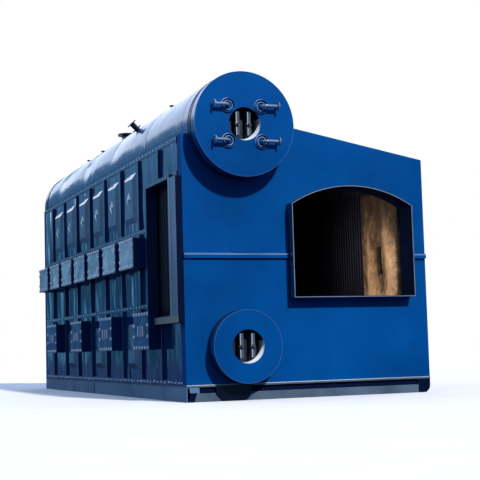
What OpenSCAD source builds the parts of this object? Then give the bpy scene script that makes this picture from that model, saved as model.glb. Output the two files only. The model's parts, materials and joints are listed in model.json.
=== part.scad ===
// Two-drum water-tube steam boiler, packaged in a ribbed and riveted steel casing.
// X runs to the right seen from the burner front, Y to the rear, Z up.
// All places below are measured from the front left lower corner of the casing block.

/* [Casing] */
// Width of the casing over its side walls
casing_w = 3390; // [3300:10:3600]
// Length of the casing over its front and rear walls
casing_l = 8150; // [8000:10:9000]
// Height of the base beams
beam_h = 180; // [160:5:220]
// Thickness of the floor plate on the base beams
floor_t = 25; // [15:1:40]
// Reach of the floor plate in front of and behind the end walls
floor_lip = 10; // [4:1:20]
// Height of the left wall's top above the ground
left_top_z = 3315; // [3290:5:3360]
// Height of the right wall's top above the ground
right_top_z = 3090; // [3000:5:3150]
// Fall of the roof for each unit of width
roof_slope = 0.19; // [0.16:0.01:0.21]
// Thickness of the front and rear walls
end_wall_t = 160; // [130:5:190]
// Thickness of the side walls
side_wall_t = 110; // [90:5:125]
// Thickness of the roof panel, measured upright
roof_t = 100; // [80:5:120]

/* [Drums] */
// Distance of the drum axes from the left face
drum_x = 740; // [700:5:780]
// Height of the lower drum's axis
lower_drum_z = 661; // [660:1:700]
// Distance between the two drum axes
drum_pitch = 2750; // [2700:10:2800]
// Bore of the upper drum
upper_bore = 1000; // [940:10:1040]
// Bore of the lower drum
lower_bore = 720; // [660:10:740]
// Wall of both drum shells
drum_t = 22; // [16:1:30]
// Outer radius of the upper drum's cladding
upper_clad_r = 660; // [640:5:670]
// Outer radius of the lower drum's cladding
lower_clad_r = 450; // [430:5:450]
// Reach of the upper cover disc in front of the casing
upper_reach = 300; // [260:5:360]
// Reach of the lower cover disc in front of the casing
lower_reach = 220; // [190:5:260]
// Thickness of the cladding sheet
clad_t = 6; // [4:1:10]
// Thickness of the cover discs
disc_t = 14; // [8:1:20]
// Radius of the manhole recess in the cover discs
recess_r = 215; // [200:5:225]

/* [Nozzles] */
// Height of the ridge nozzles above the jacket
ridge_h = 174; // [150:2:220]
// Wall of the ridge and inclined nozzles
nozzle_wall = 10; // [6:1:14]
// Thickness of the nozzle flanges
nozzle_flange_t = 28; // [20:1:36]
// Outer radius of the steam outlet's pipe
steam_pipe_r = 84; // [76:1:96]
// Outer radius of the steam outlet's flange
steam_flange_r = 150; // [146:1:165]
// Diameter of the steam outlet's bolt circle
steam_pcd = 250; // [240:2:254]
// Radius of the bolt holes in the steam outlet's flange
steam_bolt_r = 12; // [9:0.5:14]

/* [Burner opening] */
// Width of the arched opening
arch_w = 1706; // [1500:2:1720]
// Distance of the arched opening from the right face
arch_edge = 269; // [240:1:272]
// Height of the sill
arch_sill_z = 1268; // [1200:4:1400]
// Height of the straight sides
arch_side_h = 1175; // [1000:5:1250]
// Rise of the arch above the straight sides
arch_rise = 241; // [200:1:280]
// Reach of the collar in front of the wall
collar_reach = 164; // [120:2:200]
// Thickness of the collar plate
collar_t = 16; // [10:1:30]

/* [Flue window] */
// Distance of the window opening from the front face
window_y = 440; // [420:5:460]
// Length of the window opening
window_l = 970; // [900:5:980]
// Height of the window opening's sill
window_z = 1084; // [1070:2:1100]
// Height of the window opening
window_h = 1726; // [1600:2:1740]
// Reach of the window frame in front of the wall
window_reach = 40; // [30:1:60]
// Thickness of the flat flange around the window frame
window_flange_t = 10; // [6:1:14]

/* [Side trim] */
// Distance of the first rib from the front and of the last rib from the rear
rib_edge = 873; // [860:1:885]
// Wanted pitch of the ribs
rib_pitch_wanted = 915; // [900:5:960]
// Depth of a rib
rib_depth = 32; // [24:1:45]
// Thickness of a rib
rib_t = 12; // [8:1:16]
// Height of a riveted strip
strip_h = 60; // [50:1:80]
// Thickness of a riveted strip
strip_t = 8; // [5:1:12]
// Height of the upper riveted strip's middle
upper_strip_z = 2265; // [2245:5:2285]
// Height of the lower riveted strip's middle
lower_strip_z = 1240; // [1225:5:1260]
// Reach of the hatch boxes in front of the left wall
hatch_reach = 164; // [150:1:220]
// Thickness of a hatch plate
hatch_plate_t = 12; // [8:1:20]
// Wall of the hatch boxes
hatch_wall = 10; // [6:1:16]

/* [Tubes] */
// Outer radius of the furnace and bank tubes
tube_r = 28.5; // [25:0.5:30]
// Pitch of the furnace tubes
tube_pitch = 77; // [75:1:90]
// Thickness of the fins between the furnace tubes
fin_t = 6; // [4:1:8]
// Insulated gap between the furnace tubes' axes and the right wall
tube_wall_gap = 130; // [110:5:180]

/* [Hidden] */
$fn = 64;

fit = 0.3;
paint = "#0a4a90";
paint_dark = "#0a2a55";
jacket_blue = "#5d8cc0";
tube_black = "#15181c";

casing_z = beam_h + floor_t;
arch_x = casing_w - arch_edge - arch_w;
upper_drum_z = lower_drum_z + drum_pitch;
upper_drum_r = upper_bore / 2 + drum_t;
lower_drum_r = lower_bore / 2 + drum_t;
inside_y = end_wall_t;
inside_l = casing_l - 2 * end_wall_t;
rib_gaps = round((casing_l - 2 * rib_edge) / rib_pitch_wanted);
rib_pitch = (casing_l - 2 * rib_edge) / rib_gaps;
steam_bolts = 8;
steam_bay = 4.5;
gauge_flange_r = 55;
gauge_flange_t = 12;
gauge_run_y = -upper_reach - 75;
gauge_half = 222;
gauge_end = 430;
gauge_tube_r = 22;
gauge_bend_r = 55;
grip_reach = 14;

min_x = -hatch_reach - hatch_plate_t - grip_reach;
max_x = casing_w + rib_depth;
min_y = gauge_run_y - gauge_flange_r;
max_y = casing_l + upper_reach;
mid_x = (min_x + max_x) / 2;
mid_y = (min_y + max_y) / 2;

// Height of the roof's upper face at a distance x from the left face
function roof_z(x) = right_top_z + roof_slope * (casing_w - x);

// Moves the block so that its origin is under the middle of its box
module in_place() {
    translate([-mid_x, -mid_y, 0]) children();
}

// Raises a drawing in X and Z to a plate that starts at y and is t thick
module along_y(y, t) {
    translate([0, y + t, 0]) rotate([90, 0, 0]) linear_extrude(t) children();
}

// Raises a drawing in Y and Z to a plate that starts at x and is t thick
module along_x(x, t) {
    translate([x, 0, 0]) rotate([90, 0, 90]) linear_extrude(t) children();
}

module upper_circle(r) {
    translate([drum_x, upper_drum_z]) circle(r);
}

module lower_circle(r) {
    translate([drum_x, lower_drum_z]) circle(r);
}

module ring(r_out, r_in) {
    difference() {
        circle(r_out);
        circle(r_in);
    }
}

// Base

beam_inside = 75;
end_beam_h = 105;
end_beam_w = 80;

// A channel that lies along a side and stops a distance end before the casing's ends
module side_beam(end) {
    web_t = 10;
    flange_t = 12;
    along_y(end, casing_l - 2 * end) union() {
        square([web_t, beam_h]);
        square([beam_inside, flange_t]);
        translate([0, beam_h - flange_t]) square([beam_inside, flange_t]);
    }
}

module base_beam_left() {
    color(paint_dark) in_place() side_beam(0);
}

module base_beam_right() {
    color(paint_dark) in_place() translate([casing_w, 0, 0]) mirror([1, 0, 0]) side_beam(end_beam_w + fit);
}

// An end beam, its right end tapered like a skid
module end_beam() {
    end_x = casing_w - 15;
    taper_run = 137;
    taper_rise = 100;
    polygon([
        [beam_inside, 0], [end_x - taper_run, 0], [end_x, taper_rise], [end_x, end_beam_h], [beam_inside, end_beam_h]
    ]);
}

module base_cross_beams() {
    inner_beams = 4;
    run = casing_w - 2 * beam_inside;
    color(paint_dark) in_place() union() {
        for (y = [0, casing_l - end_beam_w]) along_y(y, end_beam_w) end_beam();
        for (i = [1:inner_beams])
            translate([beam_inside, i * casing_l / (inner_beams + 1) - end_beam_w / 2, 0])
                cube([run, end_beam_w, beam_h]);
    }
}

module floor_plate() {
    color(paint_dark) in_place() translate([0, -floor_lip, beam_h])
        cube([casing_w, casing_l + 2 * floor_lip, floor_t]);
}

module foot_posts() {
    post_w = 86;
    post_d = 40;
    color(paint) in_place() union() {
        for (y = [0, casing_l - post_d])
            for (x = [beam_inside + 5, casing_w - beam_inside - 5 - post_w])
                translate([x, y, end_beam_h]) cube([post_w, post_d, beam_h - end_beam_h]);
    }
}

// The cradle plates under the ends of the lower drum, each with a lifting eye
module lower_drum_saddles() {
    saddle_t = 24;
    saddle_x = drum_x - 130;
    half_top = 231;
    half_foot = 145;
    foot_shift = 16;
    eye_x = saddle_x + 184;
    eye_z = 69;
    eye_r = 34;
    eye_hole_r = 15;
    color(paint_dark) in_place() for (y = [-saddle_t - fit, casing_l + fit]) along_y(y, saddle_t) difference() {
        union() {
            translate([saddle_x, 0]) polygon([
                [-half_top, beam_h - fit], [-half_top, end_beam_h - 10], [foot_shift - half_foot, 0],
                [foot_shift + half_foot, 0], [half_top, end_beam_h - 10], [half_top, beam_h - fit]
            ]);
            translate([eye_x, eye_z]) circle(eye_r);
        }
        translate([eye_x, eye_z]) circle(eye_hole_r);
    }
}

// Casing

module end_outline() {
    difference() {
        polygon([
            [0, casing_z], [casing_w, casing_z], [casing_w, right_top_z],
            [drum_x, roof_z(drum_x)], [drum_x, left_top_z], [0, left_top_z]
        ]);
        upper_circle(upper_clad_r + fit);
        lower_circle(lower_clad_r + fit);
    }
}

arch_r = (pow(arch_w / 2, 2) + pow(arch_rise, 2)) / (2 * arch_rise);

// The arched opening, grown by g on every side
module arch(g) {
    spring = arch_sill_z + arch_side_h;
    mid = arch_x + arch_w / 2;
    union() {
        translate([arch_x - g, arch_sill_z - g]) square([arch_w + 2 * g, arch_side_h + g]);
        intersection() {
            translate([mid, spring + arch_rise - arch_r]) circle(arch_r + g, $fn = 180);
            translate([arch_x - g, spring]) square([arch_w + 2 * g, arch_rise + g]);
        }
    }
}

module front_wall() {
    color(paint) in_place() along_y(0, end_wall_t) difference() {
        end_outline();
        arch(0);
    }
}

module rear_wall() {
    color(paint) in_place() along_y(casing_l - end_wall_t, end_wall_t) end_outline();
}

front_rib_z = 1793;
front_rib_h = 60;

module front_rib() {
    color(paint) in_place() along_y(-rib_depth, rib_depth) difference() {
        translate([0, front_rib_z - front_rib_h / 2]) square([casing_w, front_rib_h]);
        arch(collar_t + fit);
    }
}

module rear_rib() {
    color(paint) in_place() along_y(casing_l, rib_depth)
        translate([0, front_rib_z - front_rib_h / 2]) square([casing_w, front_rib_h]);
}

module burner_collar() {
    color(paint) in_place() along_y(-collar_reach, collar_reach) difference() {
        arch(collar_t);
        arch(0);
    }
}

frame_w = 50;
window_low = window_z - frame_w;
window_high = window_z + window_h + frame_w;
window_front = window_y - frame_w;
window_rear = window_y + window_l + frame_w;
ledge_t = 40;
wall_top = left_top_z - ledge_t;
ledge_w = drum_x - sqrt(pow(upper_clad_r + fit, 2) - pow(upper_drum_z - left_top_z, 2));

module side_slab(y0, y1, z0, z1) {
    along_y(y0, y1 - y0) difference() {
        translate([0, z0]) square([side_wall_t, z1 - z0]);
        upper_circle(upper_clad_r + fit);
    }
}

module left_wall_lower() {
    color(paint_dark) in_place() side_slab(inside_y, casing_l - inside_y, casing_z, window_low);
}

module left_wall_front() {
    color(paint_dark) in_place() side_slab(inside_y, window_front, window_low, wall_top);
}

module left_wall_rear() {
    color(paint_dark) in_place() side_slab(window_rear, casing_l - inside_y, window_low, wall_top);
}

module left_wall_head() {
    color(paint_dark) in_place() side_slab(window_front, window_rear, window_high, wall_top);
}

module eave_ledge() {
    color(paint) in_place() along_y(inside_y, inside_l)
        translate([0, wall_top]) square([ledge_w, ledge_t]);
}

module right_wall() {
    x0 = casing_w - side_wall_t;
    color(paint_dark) in_place() along_y(inside_y, inside_l) polygon([
        [x0, casing_z], [casing_w, casing_z],
        [casing_w, roof_z(casing_w) - roof_t], [x0, roof_z(x0) - roof_t]
    ]);
}

module roof_panel() {
    color(paint) in_place() along_y(inside_y, inside_l) difference() {
        polygon([
            [casing_w, roof_z(casing_w)], [drum_x, roof_z(drum_x)],
            [drum_x, roof_z(drum_x) - roof_t], [casing_w, roof_z(casing_w) - roof_t]
        ]);
        upper_circle(upper_clad_r + fit);
    }
}

// Side trim

hatch_l = 672;
upper_hatch_h = 410;
lower_hatch_h = 486;
upper_hatch_z = 1766;
lower_hatch_z = 657;
upper_hatch_y0 = 1627;
lower_hatch_y0 = 972;
grip_w = 12;
grip_h = 120;
grip_pitch = 55;
cassette_out = 40;
bottom_strip_z = casing_z + strip_h / 2;
eave_strip_z = 3286;

function rib_y(i) = rib_edge + i * rib_pitch;
function upper_hatch_y(i) = upper_hatch_y0 + i * rib_pitch;
function lower_hatch_y(i) = lower_hatch_y0 + i * 2 * rib_pitch;

// Ribs on one side face, each a flat bar on edge, broken at the strips
module rib_set(z_top) {
    spans = [
        [bottom_strip_z + strip_h / 2, lower_strip_z - strip_h / 2],
        [lower_strip_z + strip_h / 2, upper_strip_z - strip_h / 2],
        [upper_strip_z + strip_h / 2, z_top]
    ];
    for (i = [0:rib_gaps], s = spans)
        translate([rib_y(i) - rib_t / 2, s[0]]) square([rib_t, s[1] - s[0]]);
}

module hatch_row(count, g, upper) {
    z = upper ? upper_hatch_z : lower_hatch_z;
    h = upper ? upper_hatch_h : lower_hatch_h;
    for (i = [0:count - 1])
        translate([(upper ? upper_hatch_y(i) : lower_hatch_y(i)) - g, z - g])
            square([hatch_l + 2 * g, h + 2 * g]);
}

upper_hatches = rib_gaps;
lower_hatches = ceil(rib_gaps / 2);

flange_front = inside_y + 10;
flange_rear = window_rear + 90;
flange_low = window_low - 14;
flange_high = window_high + 14;

// The flat flange around the window frame, grown by g
module window_flange(g) {
    translate([flange_front - g, flange_low - g])
        square([flange_rear - flange_front + 2 * g, flange_high - flange_low + 2 * g]);
}

// The part of the side that strips and ribs leave free for the window
module window_clear() {
    translate([0, flange_low - fit]) square([flange_rear + fit, flange_high - flange_low + 2 * fit]);
}

module left_ribs() {
    color(paint_dark) in_place() along_x(-rib_depth, rib_depth) difference() {
        rib_set(eave_strip_z - strip_h / 2);
        hatch_row(upper_hatches, fit, true);
        hatch_row(lower_hatches, fit, false);
        window_clear();
    }
}

module right_ribs() {
    color(paint_dark) in_place() along_x(casing_w, rib_depth)
        rib_set(right_top_z - roof_t - strip_h);
}

module strip(z) {
    translate([inside_y, z - strip_h / 2]) square([inside_l, strip_h]);
}

module left_strips() {
    color(paint_dark) in_place() along_x(-strip_t, strip_t) difference() {
        union() {
            for (z = [bottom_strip_z, lower_strip_z, upper_strip_z, eave_strip_z - 1]) strip(z);
        }
        window_clear();
    }
}

module right_strips() {
    color(paint_dark) in_place() along_x(casing_w, strip_t) union() {
        for (z = [bottom_strip_z, lower_strip_z, upper_strip_z]) strip(z);
        strip(right_top_z - roof_t - strip_h / 2);
    }
}

// A raised tray with sloping borders and a pressed diamond in the middle of its face
module cassette(y, z, l, h) {
    slope = 80;
    diamond_r = 105;
    diamond_out = 12;
    translate([0, y, z]) union() {
        intersection() {
            along_y(0, l) polygon([[0, 0], [-cassette_out, slope], [-cassette_out, h - slope], [0, h]]);
            linear_extrude(h) polygon([[0, 0], [-cassette_out, slope], [-cassette_out, l - slope], [0, l]]);
        }
        translate([-cassette_out, l / 2, h / 2]) rotate([0, -90, 0])
            cylinder(h = diamond_out, r1 = diamond_r, r2 = 0, $fn = 4);
    }
}

upper_cassette_l = 552;
upper_cassette_h = 705;
upper_cassette_z = 2420;
lower_cassette_l = 490;
lower_cassette_h = 628;
lower_cassette_z = 395;

module upper_cassettes() {
    color(jacket_blue) in_place() for (i = [1:rib_gaps - 1])
        cassette(rib_y(i) + (rib_pitch - upper_cassette_l) / 2, upper_cassette_z,
            upper_cassette_l, upper_cassette_h);
}

module lower_cassettes() {
    color(jacket_blue) in_place() for (i = [1:2:rib_gaps - 1])
        cassette(rib_y(i) + (rib_pitch - lower_cassette_l) / 2, lower_cassette_z,
            lower_cassette_l, lower_cassette_h);
}

module upper_hatch_boxes() {
    color(paint_dark) in_place() along_x(-hatch_reach, hatch_reach) difference() {
        hatch_row(upper_hatches, 0, true);
        hatch_row(upper_hatches, -hatch_wall, true);
    }
}

module lower_hatch_boxes() {
    color(paint_dark) in_place() difference() {
        along_x(-hatch_reach, hatch_reach) difference() {
            hatch_row(lower_hatches, 0, false);
            hatch_row(lower_hatches, -hatch_wall, false);
        }
        along_x(-window_flange_t - fit, hatch_reach) window_flange(fit);
        along_x(-window_reach - fit, hatch_reach)
            translate([window_front, window_low]) square([window_rear - window_front, window_high - window_low]);
    }
}

module upper_hatch_plates() {
    color(jacket_blue) in_place() along_x(-hatch_reach - hatch_plate_t, hatch_plate_t)
        hatch_row(upper_hatches, 0, true);
}

module lower_hatch_plates() {
    color(jacket_blue) in_place() union() {
        along_x(-hatch_reach - hatch_plate_t, hatch_plate_t) hatch_row(lower_hatches, 0, false);
        for (i = [0:lower_hatches - 1], k = [-1:1])
            translate([min_x, lower_hatch_y(i) + hatch_l / 2 + k * grip_pitch - grip_w / 2,
                lower_hatch_z + (lower_hatch_h - grip_h) / 2]) cube([grip_reach, grip_w, grip_h]);
    }
}

module window_hole() {
    translate([window_y, window_z]) square([window_l, window_h]);
}

module flue_window_frame() {
    color(paint) in_place() union() {
        along_x(-window_reach, window_reach + side_wall_t) difference() {
            translate([window_front + fit, window_low + fit])
                square([window_rear - window_front - 2 * fit, window_high - window_low - 2 * fit]);
            window_hole();
        }
        along_x(-window_flange_t, window_flange_t) difference() {
            window_flange(0);
            window_hole();
        }
    }
}

// Drums

head_depth = 190;

module drum_tube(z, r, y0, y1) {
    translate([drum_x, y1, z]) rotate([90, 0, 0]) difference() {
        cylinder(h = y1 - y0, r = r);
        translate([0, 0, -1]) cylinder(h = y1 - y0 + 2, r = r - drum_t);
    }
}

upper_head_y = 90;
lower_head_y = 110;
lower_head_depth = 0.75 * head_depth;
upper_crown_y = upper_head_y - fit - head_depth;
head_crown_r = (pow(upper_drum_r, 2) + pow(head_depth, 2)) / (2 * head_depth);

// Height of the upper head over its rim at a distance r from the drum's axis
function head_rise(r) = sqrt(pow(head_crown_r, 2) - pow(r, 2)) - head_crown_r + head_depth;

lower_crown_y = lower_head_y - fit - lower_head_depth;

module upper_drum_shell() {
    color("#5a5f66") in_place()
        drum_tube(upper_drum_z, upper_drum_r, upper_head_y, casing_l - upper_head_y);
}

module lower_drum_shell() {
    color("#5a5f66") in_place()
        drum_tube(lower_drum_z, lower_drum_r, lower_head_y, casing_l - lower_head_y);
}

// Dished head with a crown sphere, its rim at z = 0 and its crown towards +z
module dished_head(r, depth) {
    crown = (pow(r, 2) + pow(depth, 2)) / (2 * depth);
    rotate_extrude() intersection() {
        difference() {
            translate([0, depth - crown]) circle(crown, $fn = 180);
            translate([0, depth - crown]) circle(crown - drum_t, $fn = 180);
        }
        square([r, depth + 1]);
    }
}

module drum_heads() {
    color("#5a5f66") in_place() union() {
        translate([drum_x, upper_head_y - fit, upper_drum_z]) rotate([90, 0, 0])
            dished_head(upper_drum_r, head_depth);
        translate([drum_x, casing_l - upper_head_y + fit, upper_drum_z]) rotate([-90, 0, 0])
            dished_head(upper_drum_r, head_depth);
        translate([drum_x, lower_head_y - fit, lower_drum_z]) rotate([90, 0, 0])
            dished_head(lower_drum_r, lower_head_depth);
        translate([drum_x, casing_l - lower_head_y + fit, lower_drum_z]) rotate([-90, 0, 0])
            dished_head(lower_drum_r, lower_head_depth);
    }
}

module upper_jacket() {
    color(jacket_blue) in_place() along_y(inside_y, inside_l) difference() {
        upper_circle(upper_clad_r);
        upper_circle(upper_drum_r + fit);
        translate([drum_x - 2 * upper_clad_r, upper_drum_z - 2 * upper_clad_r])
            square([2 * upper_clad_r, 2 * upper_clad_r + wall_top - upper_drum_z]);
        polygon([
            [drum_x, upper_drum_z - 2 * upper_clad_r],
            [drum_x + 2 * upper_clad_r, upper_drum_z - 2 * upper_clad_r],
            [drum_x + 2 * upper_clad_r, roof_z(drum_x + 2 * upper_clad_r) - roof_t],
            [drum_x + upper_drum_r / 2, roof_z(drum_x + upper_drum_r / 2) - roof_t],
            [drum_x, upper_drum_z]
        ]);
    }
}

module barrel(z, r, y0, y1) {
    translate([drum_x, y1, z]) rotate([90, 0, 0]) linear_extrude(y1 - y0) ring(r, r - clad_t);
}

module upper_barrels() {
    color(paint) in_place() union() {
        barrel(upper_drum_z, upper_clad_r, disc_t - upper_reach, end_wall_t - fit);
        barrel(upper_drum_z, upper_clad_r, casing_l - end_wall_t + fit, casing_l + upper_reach - disc_t);
    }
}

module lower_barrels() {
    color(paint) in_place() union() {
        barrel(lower_drum_z, lower_clad_r, disc_t - lower_reach, end_wall_t - fit);
        barrel(lower_drum_z, lower_clad_r, casing_l - end_wall_t + fit, casing_l + lower_reach - disc_t);
    }
}

sleeve_r = 88;
sleeve_wall = 8;
sleeve_out = 26;
inner_sleeve_r = 58;
inner_sleeve_out = 14;
gauge_clearance = 3;

module gauge_places() {
    for (sx = [-1, 1], sz = [-1, 1])
        translate([drum_x + sx * gauge_half, upper_drum_z + sz * gauge_half]) children();
}

// The round lining of a manhole recess, from the disc back towards the drum's head
module recess_wall(z, y0, y1) {
    translate([drum_x, y1, z]) rotate([90, 0, 0]) linear_extrude(y1 - y0) ring(recess_r, recess_r - clad_t);
}

module upper_front_disc() {
    color(paint) in_place() union() {
        along_y(-upper_reach, disc_t) difference() {
            upper_circle(upper_clad_r);
            upper_circle(recess_r - clad_t);
            gauge_places() circle(gauge_tube_r + gauge_clearance);
        }
        recess_wall(upper_drum_z, -upper_reach + disc_t, upper_crown_y - 2 * fit);
    }
}

module lower_front_disc() {
    color(paint) in_place() union() {
        along_y(-lower_reach, disc_t) difference() {
            lower_circle(lower_clad_r);
            lower_circle(recess_r - clad_t);
        }
        recess_wall(lower_drum_z, -lower_reach + disc_t, lower_crown_y - 2 * fit);
    }
}

module rear_discs() {
    color(paint) in_place() union() {
        along_y(casing_l + upper_reach - disc_t, disc_t) upper_circle(upper_clad_r);
        along_y(casing_l + lower_reach - disc_t, disc_t) lower_circle(lower_clad_r);
    }
}

cover_r = 175;
cover_t = 34;
yoke_x = 76;
yoke_w = 44;
yoke_h = 380;
yoke_end = 40;
yoke_depth = 120;
stud_r = 14;
nut_r = 25;
nut_t = 20;
stud_reach = 8;

// A manhole cover whose back is at y, with the seat ring around it
module manhole(z, y) {
    translate([drum_x, y, z]) rotate([90, 0, 0]) union() {
        cylinder(h = cover_t, r = cover_r);
        cylinder(h = cover_t / 2, r = cover_r + 18);
    }
}

module manhole_covers() {
    color("#20262e") in_place() union() {
        manhole(upper_drum_z, upper_crown_y - fit);
        manhole(lower_drum_z, lower_crown_y - fit);
    }
}

// A bridge bar on edge, deepest at mid height, with its feet at y
module yoke(z, y) {
    translate([drum_x - yoke_w / 2, y, z]) rotate([90, 0, 90]) linear_extrude(yoke_w) difference() {
        polygon([
            [0, -yoke_h / 2], [-yoke_end, -yoke_h / 2], [-yoke_depth, -0.36 * yoke_h], [-yoke_depth, 0.42 * yoke_h],
            [-yoke_end, yoke_h / 2], [0, yoke_h / 2]
        ]);
        polygon([[1, -yoke_h / 3], [-yoke_end, -yoke_h / 5], [-yoke_end, yoke_h / 5], [1, yoke_h / 3]]);
    }
}

// Stud with its hexagon nut on a yoke whose feet are at y
module yoke_stud(z, y) {
    translate([drum_x, y, z]) rotate([90, 0, 0]) union() {
        cylinder(h = yoke_depth + nut_t + stud_reach, r = stud_r);
        translate([0, 0, yoke_depth]) cylinder(h = nut_t, r = nut_r, $fn = 6);
    }
}

module yoke_pair(z, y) {
    for (s = [-1, 1]) translate([s * yoke_x, 0, 0]) union() {
        yoke(z, y);
        yoke_stud(z, y);
    }
}

module manhole_yokes() {
    color("#8f98a3") in_place() union() {
        yoke_pair(upper_drum_z, upper_crown_y - cover_t - 2 * fit);
        yoke_pair(lower_drum_z, lower_crown_y - cover_t - 2 * fit);
    }
}

// One level gauge nozzle that points to the right: leg, bend, run and flange
module gauge_nozzle() {
    foot = upper_head_y - 2 * fit - head_rise(gauge_half * sqrt(2) - gauge_tube_r);
    leg = foot - gauge_run_y - gauge_bend_r;
    run = gauge_end - gauge_half - gauge_bend_r;
    union() {
        translate([0, gauge_bend_r, 0]) rotate([-90, 0, 0]) cylinder(h = leg, r = gauge_tube_r);
        translate([gauge_bend_r, gauge_bend_r, 0]) rotate([0, 0, 180])
            rotate_extrude(angle = 90) translate([gauge_bend_r, 0]) circle(gauge_tube_r);
        translate([gauge_bend_r, 0, 0]) rotate([0, 90, 0]) cylinder(h = run, r = gauge_tube_r);
        translate([gauge_bend_r + run - gauge_flange_t, 0, 0]) rotate([0, 90, 0])
            cylinder(h = gauge_flange_t, r = gauge_flange_r);
    }
}

module gauge_nozzles() {
    color(paint) in_place() for (sx = [-1, 1], sz = [-1, 1])
        translate([drum_x + sx * gauge_half, gauge_run_y, upper_drum_z + sz * gauge_half])
            mirror([sx < 0 ? 1 : 0, 0, 0]) gauge_nozzle();
}

// Two rings on the cover disc around each level gauge nozzle
module gauge_sleeves() {
    color(paint) in_place() union() {
        along_y(-upper_reach - sleeve_out, sleeve_out - fit)
            gauge_places() ring(sleeve_r, sleeve_r - sleeve_wall);
        along_y(-upper_reach - inner_sleeve_out, inner_sleeve_out - fit)
            gauge_places() ring(inner_sleeve_r, inner_sleeve_r - sleeve_wall);
    }
}

// Place of a fitting that lies n rib bays behind the first rib
function bay_y(n) = rib_edge + n * rib_pitch;

vent_bays = [1.84, 6.2, 7.33];
vent_r = 30;
vent_flange_r = 60;
vent_h = 0.55 * ridge_h;

// A flanged nozzle that stands on the ridge of the jacket
module ridge_nozzle(n, h, pipe_r, flange_r, holes = 0) {
    translate([drum_x, bay_y(n), upper_drum_z + upper_clad_r + fit]) difference() {
        union() {
            cylinder(h = h, r = pipe_r);
            translate([0, 0, h - nozzle_flange_t]) cylinder(h = nozzle_flange_t, r = flange_r);
        }
        translate([0, 0, -1]) cylinder(h = h + 2, r = pipe_r - nozzle_wall);
        for (i = [0:1:holes - 1]) rotate([0, 0, (i + 0.5) * 360 / holes])
            translate([steam_pcd / 2, 0, h - nozzle_flange_t - 1])
                cylinder(h = nozzle_flange_t + 2, r = steam_bolt_r);
    }
}

module ridge_nozzles() {
    color(paint) in_place() union() {
        ridge_nozzle(steam_bay, ridge_h, steam_pipe_r, steam_flange_r, steam_bolts);
        for (n = vent_bays) ridge_nozzle(n, vent_h, vent_r, vent_flange_r);
    }
}

// A short nozzle on the jacket's shoulder, with a flange at both ends
module inclined_nozzle() {
    lean = 45;
    bay = 2.06;
    pipe_r = 40;
    reach = upper_clad_r + 146;
    pad = upper_clad_r + 24;
    flange_r = 1.9 * pipe_r;
    flange_t = 16;
    color(paint) in_place() translate([drum_x, bay_y(bay), upper_drum_z]) rotate([0, -lean, 0]) difference() {
        union() {
            cylinder(h = reach, r = pipe_r);
            translate([0, 0, reach - flange_t]) cylinder(h = flange_t, r = flange_r);
            translate([0, 0, pad]) cylinder(h = flange_t, r = flange_r);
        }
        translate([0, 0, -1]) cylinder(h = reach + 2, r = pipe_r - nozzle_wall);
        translate([0, 3 * pipe_r, 0]) rotate([90, 0, 0]) cylinder(h = 6 * pipe_r, r = upper_clad_r + fit);
    }
}

// Tubes

function unit(a) = [cos(a), sin(a)];
function heading(p, q) = atan2(q[1] - p[1], q[0] - p[0]);
function turn(a, b) = ((b - a + 540) % 360) - 180;

// Length that the bend at point i takes from the straights beside it
function bend_cut(path, r, i) =
    i == 0 || i == len(path) - 1 ? 0
    : r * tan(abs(turn(heading(path[i - 1], path[i]), heading(path[i], path[i + 1]))) / 2);

// The straight from point i to the next, less the bends and a weld gap, with the section of its children
module straight(path, r, i) {
    a = heading(path[i], path[i + 1]);
    start = path[i] + (bend_cut(path, r, i) + fit / 2) * unit(a);
    run = norm(path[i + 1] - path[i]) - bend_cut(path, r, i) - bend_cut(path, r, i + 1) - fit;
    translate([start[0], 0, start[1]]) rotate([0, 90 - a, 0]) linear_extrude(run) children();
}

// The bend at point i, with the section of its children
module bend(path, r, i) {
    a = heading(path[i - 1], path[i]);
    t = turn(a, heading(path[i], path[i + 1]));
    side = t > 0 ? 1 : -1;
    middle = path[i] - bend_cut(path, r, i) * unit(a) + r * unit(a + 90 * side);
    from = a - 90 * side;
    translate([middle[0], 0, middle[1]]) rotate([-90, 0, 0])
        rotate([0, 0, -(side > 0 ? from + t : from)])
            rotate_extrude(angle = abs(t)) translate([r, 0]) children();
}

// A row of tubes joined by fins, drawn across and along Y
module tube_row(count) {
    union() {
        for (i = [0:count - 1]) translate([0, i * tube_pitch]) circle(tube_r, $fn = 24);
        translate([-fin_t / 2, 0]) square([fin_t, (count - 1) * tube_pitch]);
    }
}

function drum_point(z, r, a) = [drum_x + (r + fit) * cos(a), z + (r + fit) * sin(a)];

entry = 35;
furnace_low_z = 330;
furnace_right_x = casing_w - side_wall_t - tube_wall_gap;
tube_roof_gap = 17;
furnace_high_z = roof_z(furnace_right_x) - roof_t - tube_r - tube_roof_gap;
bend_r = 250;
partition_gap = 75;
partition_x = arch_x - partition_gap;

furnace_count = floor((inside_l - 2 * tube_r - 20) / tube_pitch) + 1;
furnace_y = casing_l / 2 - (furnace_count - 1) * tube_pitch / 2;
furnace_path = [
    drum_point(lower_drum_z, lower_drum_r, -entry),
    [drum_x + (lower_drum_z - furnace_low_z) / tan(entry), furnace_low_z],
    [furnace_right_x, furnace_low_z], [furnace_right_x, furnace_high_z],
    drum_point(upper_drum_z, upper_drum_r, heading([drum_x, upper_drum_z], [furnace_right_x, furnace_high_z]))
];

module furnace_wall_tubes() {
    color(tube_black) in_place() translate([0, furnace_y, 0])
        straight(furnace_path, bend_r, 2) tube_row(furnace_count);
}

module furnace_top_bends() {
    color(tube_black) in_place() translate([0, furnace_y, 0])
        bend(furnace_path, bend_r, 3) tube_row(furnace_count);
}

module furnace_roof_tubes() {
    color(tube_black) in_place() translate([0, furnace_y, 0])
        straight(furnace_path, bend_r, 3) tube_row(furnace_count);
}

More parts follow.
